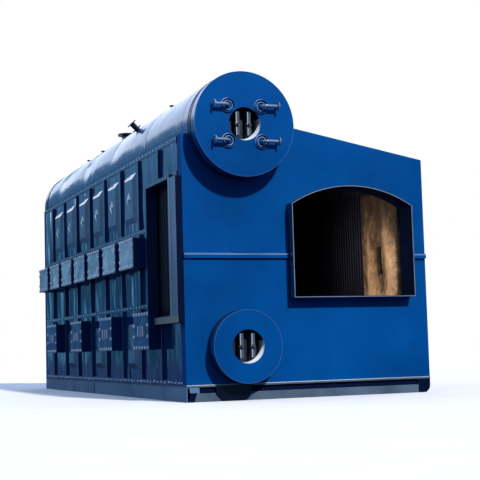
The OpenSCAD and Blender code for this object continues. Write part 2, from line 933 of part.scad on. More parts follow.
module furnace_low_bends() {
    color(tube_black) in_place() translate([0, furnace_y, 0])
        bend(furnace_path, bend_r, 2) tube_row(furnace_count);
}

gas_turn = 1000;

module partition_tubes() {
    count = floor((inside_l - gas_turn) / tube_pitch);
    foot = brick_top + fit;
    head = furnace_high_z - tube_r - fit
        + (furnace_right_x - partition_x) * tan(180 - heading(furnace_path[3], furnace_path[4]));
    color(tube_black) in_place() translate([partition_x, inside_y + tube_r + fit, foot])
        linear_extrude(head - foot - 10) tube_row(count);
}

brick_top = 420;

rear_tube_gap = 100;

module rear_tubes() {
    x0 = partition_x + rear_tube_gap;
    count = floor((furnace_right_x - rear_tube_gap - x0) / tube_pitch) + 1;
    slope = atan2(furnace_high_z - upper_drum_z, furnace_right_x - drum_x);
    color(tube_black) in_place() difference() {
        translate([x0, casing_l - inside_y - tube_r - fit, brick_top + fit]) linear_extrude(2800)
            union() {
                for (i = [0:count - 1]) translate([i * tube_pitch, 0]) circle(tube_r, $fn = 24);
                translate([0, -fin_t / 2]) square([(count - 1) * tube_pitch, fin_t]);
            }
        translate([furnace_right_x, 0, furnace_high_z]) rotate([0, -slope, 0])
            translate([-casing_w, 0, -2 * tube_r - 2 * fin_t]) cube([2 * casing_w, casing_l, casing_w]);
    }
}

module brick_floor() {
    x0 = partition_x - tube_r - fin_t;
    color("#a08468") in_place()
        translate([x0, inside_y, furnace_low_z + tube_r + fit])
            cube([furnace_right_x - bend_r - x0, inside_l, brick_top - furnace_low_z - tube_r - fit]);
}

lining_t = 40;
lining_l = 1030;
lining_top_gap = 10;
slot_y = 660;
slot_z = 1620;
slot_w = 40;
slot_h = 345;

// Fibre blanket on the furnace's right wall next to the burner, with a sight slot
module fibre_lining() {
    x0 = furnace_right_x - tube_r - fit - lining_t;
    low = furnace_low_z + bend_r;
    high = furnace_high_z - bend_r + lining_top_gap;
    color("#b0906a") in_place() difference() {
        translate([x0, inside_y, low]) cube([lining_t, lining_l, high - low]);
        translate([x0 - 1, slot_y, slot_z]) cube([lining_t + 2, slot_w, slot_h]);
    }
}

bank_pitch = 100;
bank_y = inside_y + 90;
bank_count = 24;
bank_outer_x = 170;
bank_rows = [300, 430];

// A bank tube that stands upright between the drums at a distance x from the left face
module bank_upright(x) {
    low = lower_drum_z + sqrt(pow(lower_drum_r, 2) - pow(abs(drum_x - x) - tube_r, 2)) + fit;
    high = upper_drum_z - sqrt(pow(upper_drum_r, 2) - pow(abs(drum_x - x) - tube_r, 2)) - fit;
    translate([x, 0, low]) cylinder(h = high - low, r = tube_r);
}

module bank_tubes() {
    color(tube_black) in_place() union() {
        for (row = bank_rows, i = [0:bank_count - 1])
            translate([0, bank_y + i * bank_pitch, 0]) bank_upright(bank_outer_x + row);
    }
}

module bank_bent_tubes() {
    rise = (drum_x - bank_outer_x) * tan(entry);
    path = [
        drum_point(lower_drum_z, lower_drum_r, 180 - entry), [bank_outer_x, lower_drum_z + rise],
        [bank_outer_x, upper_drum_z - rise], drum_point(upper_drum_z, upper_drum_r, 180 + entry)
    ];
    color(tube_black) in_place() union() {
        for (k = [0:bank_count - 1]) translate([0, bank_y + k * bank_pitch, 0]) {
            for (i = [0:2]) straight(path, bend_r, i) circle(tube_r);
            for (i = [1:2]) bend(path, bend_r, i) circle(tube_r);
        }
    }
}

base_beam_left();
base_beam_right();
base_cross_beams();
floor_plate();
foot_posts();
lower_drum_saddles();
front_wall();
front_rib();
burner_collar();
left_wall_lower();
left_wall_front();
left_wall_rear();
left_wall_head();
right_wall();
rear_wall();
rear_rib();
roof_panel();
eave_ledge();
left_ribs();
left_strips();
right_ribs();
right_strips();
upper_cassettes();
lower_cassettes();
upper_hatch_boxes();
upper_hatch_plates();
lower_hatch_boxes();
lower_hatch_plates();
flue_window_frame();
upper_drum_shell();
lower_drum_shell();
drum_heads();
upper_jacket();
upper_barrels();
lower_barrels();
upper_front_disc();
lower_front_disc();
rear_discs();
manhole_covers();
manhole_yokes();
gauge_nozzles();
gauge_sleeves();
ridge_nozzles();
inclined_nozzle();
furnace_wall_tubes();
furnace_top_bends();
furnace_roof_tubes();
furnace_low_bends();
partition_tubes();
rear_tubes();
brick_floor();
fibre_lining();
bank_tubes();
bank_bent_tubes();
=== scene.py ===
"""Looks of a packaged two-drum steam boiler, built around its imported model.

Lengths are in metres. Places on the casing are measured from its front left lower
corner: x to the right seen from the burner front, y to the rear, z up.
"""
import json
import math
import random

import bmesh
import bpy
from bpy.props import (
    FloatProperty, FloatVectorProperty, IntProperty, PointerProperty)
from mathutils import Matrix, Vector, noise


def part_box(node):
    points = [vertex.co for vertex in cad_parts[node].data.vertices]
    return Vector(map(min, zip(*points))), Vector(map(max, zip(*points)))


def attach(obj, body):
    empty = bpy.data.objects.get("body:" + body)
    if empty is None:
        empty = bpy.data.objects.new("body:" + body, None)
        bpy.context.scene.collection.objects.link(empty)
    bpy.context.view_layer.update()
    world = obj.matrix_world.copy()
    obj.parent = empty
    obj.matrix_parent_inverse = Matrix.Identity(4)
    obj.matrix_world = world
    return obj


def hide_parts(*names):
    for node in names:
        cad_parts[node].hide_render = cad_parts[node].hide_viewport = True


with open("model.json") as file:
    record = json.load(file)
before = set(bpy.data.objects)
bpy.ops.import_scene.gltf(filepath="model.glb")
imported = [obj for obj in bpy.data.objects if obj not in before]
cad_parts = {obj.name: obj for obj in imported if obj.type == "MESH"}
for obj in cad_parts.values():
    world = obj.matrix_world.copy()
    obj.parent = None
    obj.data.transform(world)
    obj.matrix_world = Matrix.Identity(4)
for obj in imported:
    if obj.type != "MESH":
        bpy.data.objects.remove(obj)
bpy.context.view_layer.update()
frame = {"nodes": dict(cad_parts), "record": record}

bl_info = {
    "name": "Two-drum steam boiler looks",
    "version": (1, 0, 0),
    "blender": (4, 5, 0),
    "location": "View3D > Sidebar > Boiler",
    "description": "Fasteners, sheets, welds, linings and finishes of a packaged boiler",
    "category": "Object",
}

BODY = "root"
WALL_LOW, WALL_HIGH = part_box("front_wall")
LEFT, FRONT = WALL_LOW.x, WALL_LOW.y
WIDTH = WALL_HIGH.x - LEFT
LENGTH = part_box("rear_wall")[1].y - FRONT
END_WALL = WALL_HIGH.y - FRONT

# Drums: height of the axis, radius of the covers, their reach beyond the end walls
DRUM_X = 0.74
UPPER_Z, UPPER_R, UPPER_REACH = 3.411, 0.66, 0.3
LOWER_Z, LOWER_R, LOWER_REACH = 0.661, 0.45, 0.22
DRUMS = ((UPPER_Z, UPPER_R, UPPER_REACH), (LOWER_Z, LOWER_R, LOWER_REACH))
RECESS_R = 0.2085
STUD_OFFSET = 0.076
GAUGE_OFFSET = 0.222
GAUGE_BOLT_CIRCLE = 0.040
VENT_BAYS = (1.84, 6.2, 7.33)
VENT_FOOT = UPPER_Z + UPPER_R + 0.096
VENT_TOP = VENT_FOOT + 0.062

# Burner opening, lining and roof
COLLAR = 0.016
ARCH_RISE = 0.241
ARCH_STEPS = 36
LINING_CELLS = (84, 150)
LINING_SLOT = (0.605, 0.735, 1.60, 1.97)
SLOT_DEPTH = 0.036
RELIEF_RANGE = 0.075
BRICK = (0.116, 0.23, 0.05)
BRICK_PITCH = 0.24
COURSE_PITCH = 0.124
ROOF_SLOPE = 0.19
EAVE_Z = 3.09

# Ribs, strips, hatches and the flue window
RIBS = 8
RIB_THICKNESS = 0.012
STRIP_HEIGHT = 0.06
STRIP_REACH = 0.008
BOTTOM_STRIP = 0.235
WALL_STRIPS = [BOTTOM_STRIP, 1.24, 2.265]
EAVE_STRIP = 3.285
SHEET_CELL = 0.045
SMALLEST_SPAN = 0.05
HATCH_LENGTH = 0.672
GRIP_PITCH = 0.105
MEMBER_REACH = 0.086
MEMBER_FOOT, MEMBER_TOP = 0.975, 2.79
SILL_TOP = 1.060


# Places

def at(x, y, z):
    """A place measured from the casing's front left lower corner."""
    return Vector((LEFT + x, FRONT + y, z))


def polar(radius, y, height, angle):
    """A place about a drum's axis, its angle counted from +x upwards."""
    return at(DRUM_X + radius * math.cos(angle), y, height + radius * math.sin(angle))


def evenly(low, high, count):
    """Numbers from low to high in equal steps, with both ends."""
    return [low + (high - low) * i / count for i in range(count + 1)]


def rib_places():
    """Distances of the ribs behind the front face."""
    low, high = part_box("left_ribs")
    half = RIB_THICKNESS / 2
    return evenly(low.y + half - FRONT, high.y - half - FRONT, RIBS - 1)


def hatches(node, count):
    """Rectangles (y0, y1, z0, z1) of the hatch plates in a row."""
    low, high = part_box(node)
    step = (high.y - HATCH_LENGTH - low.y) / (count - 1)
    starts = [low.y - FRONT + i * step for i in range(count)]
    return [(y, y + HATCH_LENGTH, low.z, high.z) for y in starts]


def window_outline():
    """Rectangle (y0, y1, z0, z1) of the flue window's flange."""
    low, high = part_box("flue_window_frame")
    return low.y - FRONT, high.y - FRONT, low.z, high.z


RIB_PLACES = rib_places()
UPPER_HATCHES = hatches("upper_hatch_plates", RIBS - 1)
LOWER_HATCHES = hatches("lower_hatch_plates", RIBS // 2)
WINDOW = window_outline()


def arch_path(grow, y):
    """Points round the burner opening, grown outward, at a distance behind the front."""
    low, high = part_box("burner_collar")
    x0, x1 = low.x - LEFT + COLLAR, high.x - LEFT - COLLAR
    sill, crown = low.z + COLLAR, high.z - COLLAR
    half = (x1 - x0) / 2
    radius = (half ** 2 + ARCH_RISE ** 2) / (2 * ARCH_RISE)
    middle = Vector(((x0 + x1) / 2, crown - radius))
    reach = radius + grow
    edge = math.acos((half + grow) / reach)
    points = [at(x0 - grow, y, sill - grow), at(x1 + grow, y, sill - grow)]
    for angle in evenly(edge, math.pi - edge, ARCH_STEPS):
        points.append(at(middle.x + reach * math.cos(angle), y, middle.y + reach * math.sin(angle)))
    return points


def arch_shell(profile):
    """Loops of a bar round the burner opening; its profile lists growths and distances."""
    rims = [arch_path(grow, y) for grow, y in profile]
    return [list(points) for points in zip(*rims)]


def drum_arc(radius, y, height, start, end):
    """Points on an arc about a drum's axis, its angles in degrees."""
    return [polar(radius, y, height, math.radians(a)) for a in evenly(start, end, 64)]


def circle_path(centre, radius, across, up, count):
    """Points on a circle, its plane given by two directions."""
    turn = 2 * math.pi / count
    return [
        centre + radius * (math.cos(i * turn) * Vector(across) + math.sin(i * turn) * Vector(up))
        for i in range(count)]


def corner_arc(x, z, radius, angles, side):
    """Points of a rounded lower corner in x and z; side is 1 at the right and -1 at the left."""
    return [
        (x + side * radius * math.sin(math.radians(a)), z - radius * math.cos(math.radians(a)))
        for a in angles]


def hoop(height, profile, start=0.0, end=360.0, steps=96):
    """Loops of a hoop about a drum's axis; its profile lists radii and distances."""
    angles = evenly(start, end, steps)
    if end - start >= 360.0:
        angles.pop()
    return [[polar(r, y, height, math.radians(a)) for r, y in profile] for a in angles]


def band(radius, thickness, y0, y1):
    """Profile of a flat hoop whose edges are rounded a little."""
    chamfer = min(thickness * 0.6, (y1 - y0) / 6)
    outer = radius + thickness
    return [
        (radius - 0.002, y0), (outer - chamfer, y0), (outer, y0 + chamfer),
        (outer, y1 - chamfer), (outer - chamfer, y1), (radius - 0.002, y1)]


def plate(outline, y, thickness):
    """Loops of a plate on an end wall, its outline given in x and z."""
    return [[at(x, depth, z) for x, z in outline] for depth in (y, y - thickness)]


def roof_top(x):
    """Height of the roof at a distance from the left."""
    return EAVE_Z + ROOF_SLOPE * (WIDTH - x)


def roof_angle():
    """Where the roof meets the upper drum's jacket, in degrees from +x."""
    reach = UPPER_R * math.hypot(1.0, ROOF_SLOPE)
    return math.degrees(math.asin((roof_top(DRUM_X) - UPPER_Z) / reach) - math.atan(ROOF_SLOPE))


def eave_angle():
    """Where the left eave meets the upper drum's jacket, in degrees from +x."""
    return 180.0 - math.degrees(math.asin((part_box("eave_ledge")[1].z - UPPER_Z) / UPPER_R))


# Objects

def add_object(name, data):
    """A new object in the scene."""
    obj = bpy.data.objects.new(name, data)
    bpy.context.scene.collection.objects.link(obj)
    return obj


def seat(obj, slot, *nodes):
    """Hangs the piece on the body and hides the nodes it stands for; the slot is not used."""
    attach(obj, BODY)
    if nodes:
        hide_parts(*nodes)
    return obj


def mesh_from(name, build):
    """A mesh made by a function that fills a bmesh."""
    mesh = bpy.data.meshes.new(name)
    form = bmesh.new()
    build(form)
    bmesh.ops.recalc_face_normals(form, faces=form.faces)
    form.to_mesh(mesh)
    form.free()
    return mesh


def make_piece(name, build, finish, slot, replaced=(), sharp=35.0):
    """Builds a piece, paints it and seats it; edges above the sharp angle stay sharp."""
    mesh = mesh_from(name, build)
    mesh.materials.append(finish_of(finish))
    for polygon in mesh.polygons:
        polygon.use_smooth = True
    mesh.set_sharp_from_angle(angle=math.radians(sharp))
    return seat(add_object(name, mesh), slot, *replaced)


def make_boxes(name, boxes, finish, slot):
    """A piece of boxes, each between two corners."""

    def build(form):
        for low, high in boxes:
            corners = [
                form.verts.new((x, y, z))
                for x in (low.x, high.x) for y in (low.y, high.y) for z in (low.z, high.z)]
            for face in (
                    (0, 1, 3, 2), (4, 6, 7, 5), (0, 4, 5, 1), (2, 3, 7, 6), (0, 2, 6, 4), (1, 5, 7, 3)):
                form.faces.new([corners[i] for i in face])

    return make_piece(name, build, finish, slot)


def make_shells(name, shells, finish, slot, closed=False, sharp=35.0):
    """A piece of closed shells, each through a row of loops with the same number of points."""

    def build(form):
        for loops in shells:
            rows = [[form.verts.new(point) for point in loop] for loop in loops]
            count = len(rows[0])
            for i in range(len(rows) if closed else len(rows) - 1):
                row, after = rows[i], rows[(i + 1) % len(rows)]
                for k in range(count):
                    j = (k + 1) % count
                    form.faces.new((row[k], row[j], after[j], after[k]))
            if not closed:
                form.faces.new(rows[0])
                form.faces.new(rows[-1])

    return make_piece(name, build, finish, slot, sharp=sharp)


def close_sheet(form, rows, behind):
    """Faces over a grid of vertices, closed by a flat back; behind() gives the back's places."""
    for row, after in zip(rows, rows[1:]):
        for k in range(len(row) - 1):
            form.faces.new((row[k], after[k], after[k + 1], row[k + 1]))
    border = rows[0] + [r[-1] for r in rows[1:]] + rows[-1][-2::-1] + [r[0] for r in rows[-2:0:-1]]
    back = [form.verts.new(behind(vert.co)) for vert in border]
    for i, vert in enumerate(border):
        j = (i + 1) % len(border)
        form.faces.new((vert, border[j], back[j], back[i]))
    form.faces.new(back)


def line(start, end):
    """An open path of two points."""
    return [start, end], False


def path_mesh(name, paths):
    """A mesh of bare edges, one chain for each path of points."""
    points, edges = [], []
    for path, closed in paths:
        start = len(points)
        points.extend(path)
        edges.extend((start + i, start + i + 1) for i in range(len(path) - 1))
        if closed:
            edges.append((start + len(path) - 1, start))
    mesh = bpy.data.meshes.new(name)
    mesh.from_pydata([tuple(p) for p in points], edges, [])
    return mesh


# Node trees

class Tree:
    """A short way to write a node tree."""

    def __init__(self, tree, place=None):
        self.tree = tree
        self.place = place

    def add(self, kind, settings=None, **inputs):
        node = self.tree.nodes.new(kind)
        for key, value in (settings or {}).items():
            setattr(node, key, value)
        for key, value in inputs.items():
            name = key.replace("_", " ")
            self.feed(next(s for s in node.inputs if s.name == name and s.enabled), value)
        return node

    def feed(self, socket, value):
        if isinstance(value, bpy.types.Node):
            value = next(s for s in value.outputs if s.enabled)
        if isinstance(value, bpy.types.NodeSocket):
            self.tree.links.new(value, socket)
        else:
            socket.default_value = value

    def feed_all(self, node, values):
        for socket, value in zip(node.inputs, values):
            self.feed(socket, value)
        return node.outputs[0]

    def math(self, operation, *values):
        return self.feed_all(self.add("ShaderNodeMath", {"operation": operation}), values)

    def scale(self, vector, factor):
        node = self.add("ShaderNodeVectorMath", {"operation": "SCALE"}, Vector=vector)
        self.feed(node.inputs["Scale"], factor)
        return node.outputs[0]

    def spread(self, value, low, high, to_low=0.0, to_high=1.0):
        node = self.add("ShaderNodeMapRange", {"clamp": True})
        return self.feed_all(node, (value, low, high, to_low, to_high))

    def blend(self, factor, first, second):
        node = self.add("ShaderNodeMix", {"data_type": "RGBA"})
        for index, value in ((0, factor), (6, first), (7, second)):
            self.feed(node.inputs[index], value)
        return node.outputs[2]

    def tones(self, cloud, colour, dark, light):
        return self.blend(self.spread(cloud, 0.3, 0.7), shade(colour, dark), shade(colour, light))

    def noise(self, scale, detail, rough, warp=0.0, stretch=None):
        place = self.place
        if stretch:
            place = self.add("ShaderNodeMapping", Vector=place, Scale=stretch).outputs["Vector"]
        return self.add(
            "ShaderNodeTexNoise", Vector=place, Scale=scale, Detail=detail, Roughness=rough,
            Distortion=warp).outputs[0]

    def bump(self, height, distance, strength=1.0, after=None):
        node = self.add("ShaderNodeBump", Strength=strength, Distance=distance, Height=height)
        if after is not None:
            self.feed(node.inputs["Normal"], after)
        return node.outputs[0]

    def along(self, given, step):
        """The given paths as curves with points a step apart."""
        curve = self.add("GeometryNodeMeshToCurve", Mesh=given["Geometry"])
        return self.add("GeometryNodeResampleCurve", {"mode": "LENGTH"}, Curve=curve, Length=step)


def geometry_tree(name, sizes):
    """A Geometry Nodes tree with named inputs, and the sockets that give them."""
    tree = bpy.data.node_groups.new(name, "GeometryNodeTree")
    for label, kind, default in [("Geometry", "Geometry", None)] + sizes:
        socket = tree.interface.new_socket(label, in_out="INPUT", socket_type="NodeSocket" + kind)
        if default is not None:
            socket.default_value = default
    tree.interface.new_socket("Geometry", in_out="OUTPUT", socket_type="NodeSocketGeometry")
    return Tree(tree), tree.nodes.new("NodeGroupInput").outputs


def finish_tree(t, geometry, metal, is_smooth):
    """Ends a tree in shading, real geometry and its material."""
    real = t.add("GeometryNodeRealizeInstances", Geometry=geometry)
    shaded = t.add("GeometryNodeSetShadeSmooth", Geometry=real, Shade_Smooth=is_smooth)
    painted = t.add("GeometryNodeSetMaterial", Geometry=shaded, Material=metal)
    t.feed(t.tree.nodes.new("NodeGroupOutput").inputs[0], painted)
    return t.tree


def fastener_tree(name):
    """Heads at a pitch along each path, turned to face outward."""
    t, given = geometry_tree(name, [
        ("Pitch", "Float", 0.15), ("Radius", "Float", 0.014), ("Height", "Float", 0.008),
        ("Outward", "Vector", (-1, 0, 0)), ("Metal", "Material", None)])
    radius, height = given["Radius"], given["Height"]
    is_bolt = name == "bolt_rows"
    if is_bolt:
        nut = t.add("GeometryNodeMeshCylinder", Vertices=6, Radius=radius, Depth=height)
        raised = t.add("ShaderNodeCombineXYZ", Z=t.math("MULTIPLY", height, 0.5))
        lifted = t.add("GeometryNodeTransform", Geometry=nut.outputs["Mesh"], Translation=raised)
        washer = t.add(
            "GeometryNodeMeshCylinder", Vertices=14, Radius=t.math("MULTIPLY", radius, 1.35),
            Depth=t.math("MULTIPLY", height, 0.44))
        head = t.add("GeometryNodeJoinGeometry")
        for part in (lifted.outputs[0], washer.outputs["Mesh"]):
            t.tree.links.new(part, head.inputs[0])
    else:
        dome = t.add("GeometryNodeMeshUVSphere", Segments=10, Rings=6, Radius=radius)
        scale = t.add("ShaderNodeCombineXYZ", X=1.0, Y=1.0, Z=t.math("DIVIDE", height, radius))
        head = t.add("GeometryNodeTransform", Geometry=dome.outputs["Mesh"], Scale=scale)
    facing = t.add("FunctionNodeAlignRotationToVector", {"axis": "Z"}, Vector=given["Outward"])
    placed = t.add(
        "GeometryNodeInstanceOnPoints", Points=t.along(given, given["Pitch"]), Instance=head,
        Rotation=facing)
    return finish_tree(t, placed, given["Metal"], not is_bolt)


def bead_tree(name):
    """A weld bead along each path, its surface rippled."""
    t, given = geometry_tree(name, [
        ("Radius", "Float", 0.005), ("Step", "Float", 0.012), ("Ripple", "Float", 0.5),
        ("Metal", "Material", None)])
    radius = given["Radius"]
    profile = t.add("GeometryNodeCurvePrimitiveCircle", {"mode": "RADIUS"}, Resolution=6, Radius=radius)
    tube = t.add(
        "GeometryNodeCurveToMesh", Curve=t.along(given, given["Step"]),
        Profile_Curve=profile.outputs["Curve"], Fill_Caps=True)
    speckle = t.add("ShaderNodeTexNoise", Scale=55.0, Detail=1.0).outputs[0]
    reach = t.math("MULTIPLY", t.math("SUBTRACT", speckle, 0.5), radius)
    offset = t.scale(t.add("GeometryNodeInputNormal"), t.math("MULTIPLY", reach, given["Ripple"]))
    moved = t.add("GeometryNodeSetPosition", Geometry=tube, Offset=offset)
    return finish_tree(t, moved, given["Metal"], True)


def brick_tree(name):
    """Bricks laid end to end along each course, each a little out of place."""
    t, given = geometry_tree(name, [
        ("Brick", "Vector", (0.114, 0.24, 0.05)), ("Pitch", "Float", 0.25),
        ("Unevenness", "Float", 0.002), ("Seed", "Int", 7), ("Clay", "Material", None)])
    brick = t.add("GeometryNodeMeshCube", Size=given["Brick"])
    wobble = t.add("FunctionNodeRandomValue", {"data_type": "FLOAT_VECTOR"}, Seed=given["Seed"])
    wobble.inputs[0].default_value = (-1, -1, -1)
    wobble.inputs[1].default_value = (1, 1, 0)
    shift = t.scale(wobble.outputs[0], given["Unevenness"])
    placed = t.add(
        "GeometryNodeInstanceOnPoints", Points=t.along(given, given["Pitch"]),
        Instance=brick.outputs["Mesh"])
    moved = t.add("GeometryNodeTranslateInstances", Instances=placed, Translation=shift)
    return finish_tree(t, moved, given["Clay"], False)


def grow(name, slot, paths, group, make, **values):
    """Runs a tree on paths, keeps the result as a plain mesh and seats it."""
    obj = add_object(name, path_mesh(name, paths))
    modifier = obj.modifiers.new(name, "NODES")
    tree = modifier.node_group = bpy.data.node_groups.get(group) or make(group)
    sockets = {s.name: s.identifier for s in tree.interface.items_tree if s.in_out == "INPUT"}
    for label, value in values.items():
        modifier[sockets[label]] = value
    graph = bpy.context.evaluated_depsgraph_get()
    grown = bpy.data.meshes.new_from_object(obj.evaluated_get(graph), depsgraph=graph)
    obj.modifiers.clear()
    bare = obj.data
    obj.data = grown
    bpy.data.meshes.remove(bare)
    if not grown.polygons:
        raise RuntimeError(f"{name} came out empty")
    return seat(obj, slot)


def fasten(kind, name, slot, paths, outward, metal, pitch, radius, height):
    """Rivets or bolts along paths."""
    grow(
        name, slot, paths, kind + "_rows", fastener_tree, Pitch=pitch, Radius=radius, Height=height,
        Outward=outward, Metal=finish_of(metal))


def weld(name, paths, metal, radius, step):
    """Weld beads along paths."""
    grow(
        name, "blue_paint", paths, "weld_bead", bead_tree, Radius=radius, Step=step, Ripple=0.9,
        Metal=finish_of(metal))


# Finishes

def dim(colour, factor):
    return tuple(min(1.0, c * factor) for c in colour)


def shade(colour, factor):
    return dim(colour, factor) + (1.0,)


class Finish(Tree):
    """A new material with its tree, its shader and its object coordinates."""

    def __init__(self, name):
        self.material = bpy.data.materials.new(name)
        self.material.use_nodes = True
        super().__init__(self.material.node_tree)
        self.place = self.add("ShaderNodeTexCoord").outputs["Object"]

    def done(self, **inputs):
        surface = self.tree.nodes["Principled BSDF"]
        for key, value in inputs.items():
            self.feed(surface.inputs[key.replace("_", " ")], value)
        return self.material


def bulge(t, start, pitch):
    """Height of sheets that bulge between seams a pitch apart along the boiler."""
    along = t.add("ShaderNodeSeparateXYZ", Vector=t.place).outputs["Y"]
    part = t.math("FRACT", t.spread(along, start, start + 8 * pitch, 0.0, 8.0))
    return t.math("MULTIPLY", part, t.math("SUBTRACT", 1.0, part))


def enamel(name, colour, gloss, wave, wave_scale, coat, dust, sheen, seams=None):
    """Sprayed enamel over sheet steel: orange peel, dents, streaks of dust and worn spots."""
    t = Finish(name)
    tone = t.tones(t.noise(0.9, 4.0, 0.55), colour, 0.78, 1.18)
    streak = t.noise(1.0, 5.0, 0.6, stretch=(9.0, 9.0, 0.7))
    pale = tuple(0.8 * c + d for c, d in zip(colour, (0.030, 0.060, 0.085))) + (1.0,)
    dusty = t.blend(t.spread(streak, 0.52, 0.78, 0.0, dust), tone, pale)
    worn = t.spread(t.noise(38.0, 2.0, 0.7), 0.72, 0.80, 0.0, 0.35)
    peel = t.bump(t.noise(120.0, 2.0, 0.5), 0.0006, 0.35)
    waved = t.bump(t.noise(1.0, 1.6, 0.45, stretch=wave_scale), wave, 1.0, peel)
    if seams:
        waved = t.bump(bulge(t, *seams), 0.11, 1.0, waved)
    return t.done(
        Base_Color=t.blend(worn, dusty, shade(colour, 0.35)),
        Roughness=t.spread(t.noise(3.2, 3.0, 0.6), 0.3, 0.75, gloss, gloss + 0.16),
        Normal=waved, Coat_Normal=waved, Specular_IOR_Level=sheen, Coat_Weight=coat,
        Coat_Roughness=0.04, Coat_IOR=1.7)


def satin(name, colour, rough_low, rough_high):
    """Dull paint on rolled beams, clouded, with primer showing where it is chipped."""
    t = Finish(name)
    cloud = t.noise(2.2, 5.0, 0.6)
    chips = t.spread(t.noise(26.0, 4.0, 0.7), 0.66, 0.70)
    rolled = t.noise(1.0, 4.0, 0.6, stretch=(30.0, 4.0, 30.0))
    return t.done(
        Base_Color=t.blend(chips, t.tones(cloud, colour, 0.7, 1.25), (0.11, 0.07, 0.05, 1.0)),
        Roughness=t.spread(cloud, 0.3, 0.7, rough_low, rough_high),
        Normal=t.bump(rolled, 0.0012, 0.5, t.bump(chips, -0.0004, 0.6)))


def mill_scale(name, colour, rust):
    """Hot-rolled tube: blue-black scale, rust bloom and fine pitting."""
    t = Finish(name)
    cloud = t.noise(1.0, 6.0, 0.65, stretch=(2.5, 2.5, 0.8))
    fine = t.noise(60.0, 4.0, 0.7)
    tone = t.blend(t.spread(cloud, 0.46, 0.72, 0.0, rust), colour + (1.0,), (0.09, 0.035, 0.014, 1.0))
    return t.done(
        Base_Color=t.blend(t.spread(fine, 0.4, 0.8, 0.0, 0.4), tone, (0.006, 0.009, 0.020, 1.0)),
        Roughness=t.spread(cloud, 0.3, 0.7, 0.34, 0.72), Normal=t.bump(fine, 0.0008, 0.6),
        Metallic=0.35)


def plate_steel(name, colour, rough):
    """Thin painted sheet that has gone dull: soft broad reflections, scuffs and rain marks."""
    t = Finish(name)
    cloud = t.noise(2.6, 4.0, 0.6)
    streak = t.spread(t.noise(1.0, 4.0, 0.6, stretch=(14.0, 14.0, 1.2)), 0.5, 0.8, 0.0, 0.5)
    return t.done(
        Base_Color=t.blend(streak, t.tones(cloud, colour, 0.8, 1.25), shade(colour, 0.35)),
        Roughness=t.spread(cloud, 0.3, 0.7, rough - 0.08, rough + 0.14),
        Normal=t.bump(t.noise(1.0, 1.6, 0.45, stretch=(3.0, 3.0, 2.4)), 0.035), Metallic=0.75)


def machined(name, colour, rough):
    """Turned or filed steel with fine tool marks and a little tarnish."""
    t = Finish(name)
    tarnish = t.noise(9.0, 5.0, 0.6)
    marks = t.noise(1.0, 2.0, 0.5, stretch=(60.0, 60.0, 900.0))
    return t.done(
        Base_Color=t.blend(t.spread(tarnish, 0.45, 0.75), colour + (1.0,), shade(colour, 0.45)),
        Roughness=t.spread(tarnish, 0.3, 0.7, rough, rough + 0.2), Normal=t.bump(marks, 0.0003, 0.5),
        Metallic=1.0)


def fire_brick(name, colour):
    """Fire clay brick, sooty in patches."""
    t = Finish(name)
    tone = t.tones(t.noise(3.0, 5.0, 0.65), colour, 0.35, 0.8)
    grain = t.noise(90.0, 4.0, 0.7)
    return t.done(
        Base_Color=t.blend(t.spread(grain, 0.5, 0.8, 0.0, 0.6), tone, shade(colour, 0.2)),
        Roughness=0.9, Normal=t.bump(grain, 0.002, 0.7))


def fire_fibre(name, colour):
    """Fibre blanket and clay: fuzzy and matt, with painted light and shade that lightens its raised rolls
    and darkens its hollows, and darker towards the top.
    """
    t = Finish(name)
    height = t.add("ShaderNodeSeparateXYZ", Vector=t.place).outputs["Z"]
    edge = t.math("ADD", height, t.spread(t.noise(2.4, 4.0, 0.6), 0.3, 0.7, -0.35, 0.35))
    cloud = t.noise(1.0, 6.0, 0.68, 0.2, (6.0, 6.0, 3.5))
    # Painted light and shade: the blanket's height off the wall lightens the raised rolls and darkens the
    # hollows.
    painted_light_relief = t.add("ShaderNodeAttribute", {"attribute_name": "painted_light_relief"}).outputs["Fac"]
    cloud_and_painted_relief_light = t.math("ADD", t.spread(cloud, 0.3, 0.7, -0.35, 0.35), painted_light_relief)
    tone = t.blend(t.spread(cloud_and_painted_relief_light, 0.12, 0.85), shade(colour, 0.20), shade(colour, 1.45))
    fuzz = t.bump(t.noise(70.0, 6.0, 0.75, 0.5), 0.006, 0.8)
    return t.done(
        Base_Color=t.blend(t.spread(edge, 1.75, 2.45, 0.0, 0.85), tone, (0.045, 0.026, 0.015, 1.0)),
        Roughness=0.95, Normal=t.bump(t.noise(11.0, 4.0, 0.6, 1.4), 0.05, 0.9, fuzz))


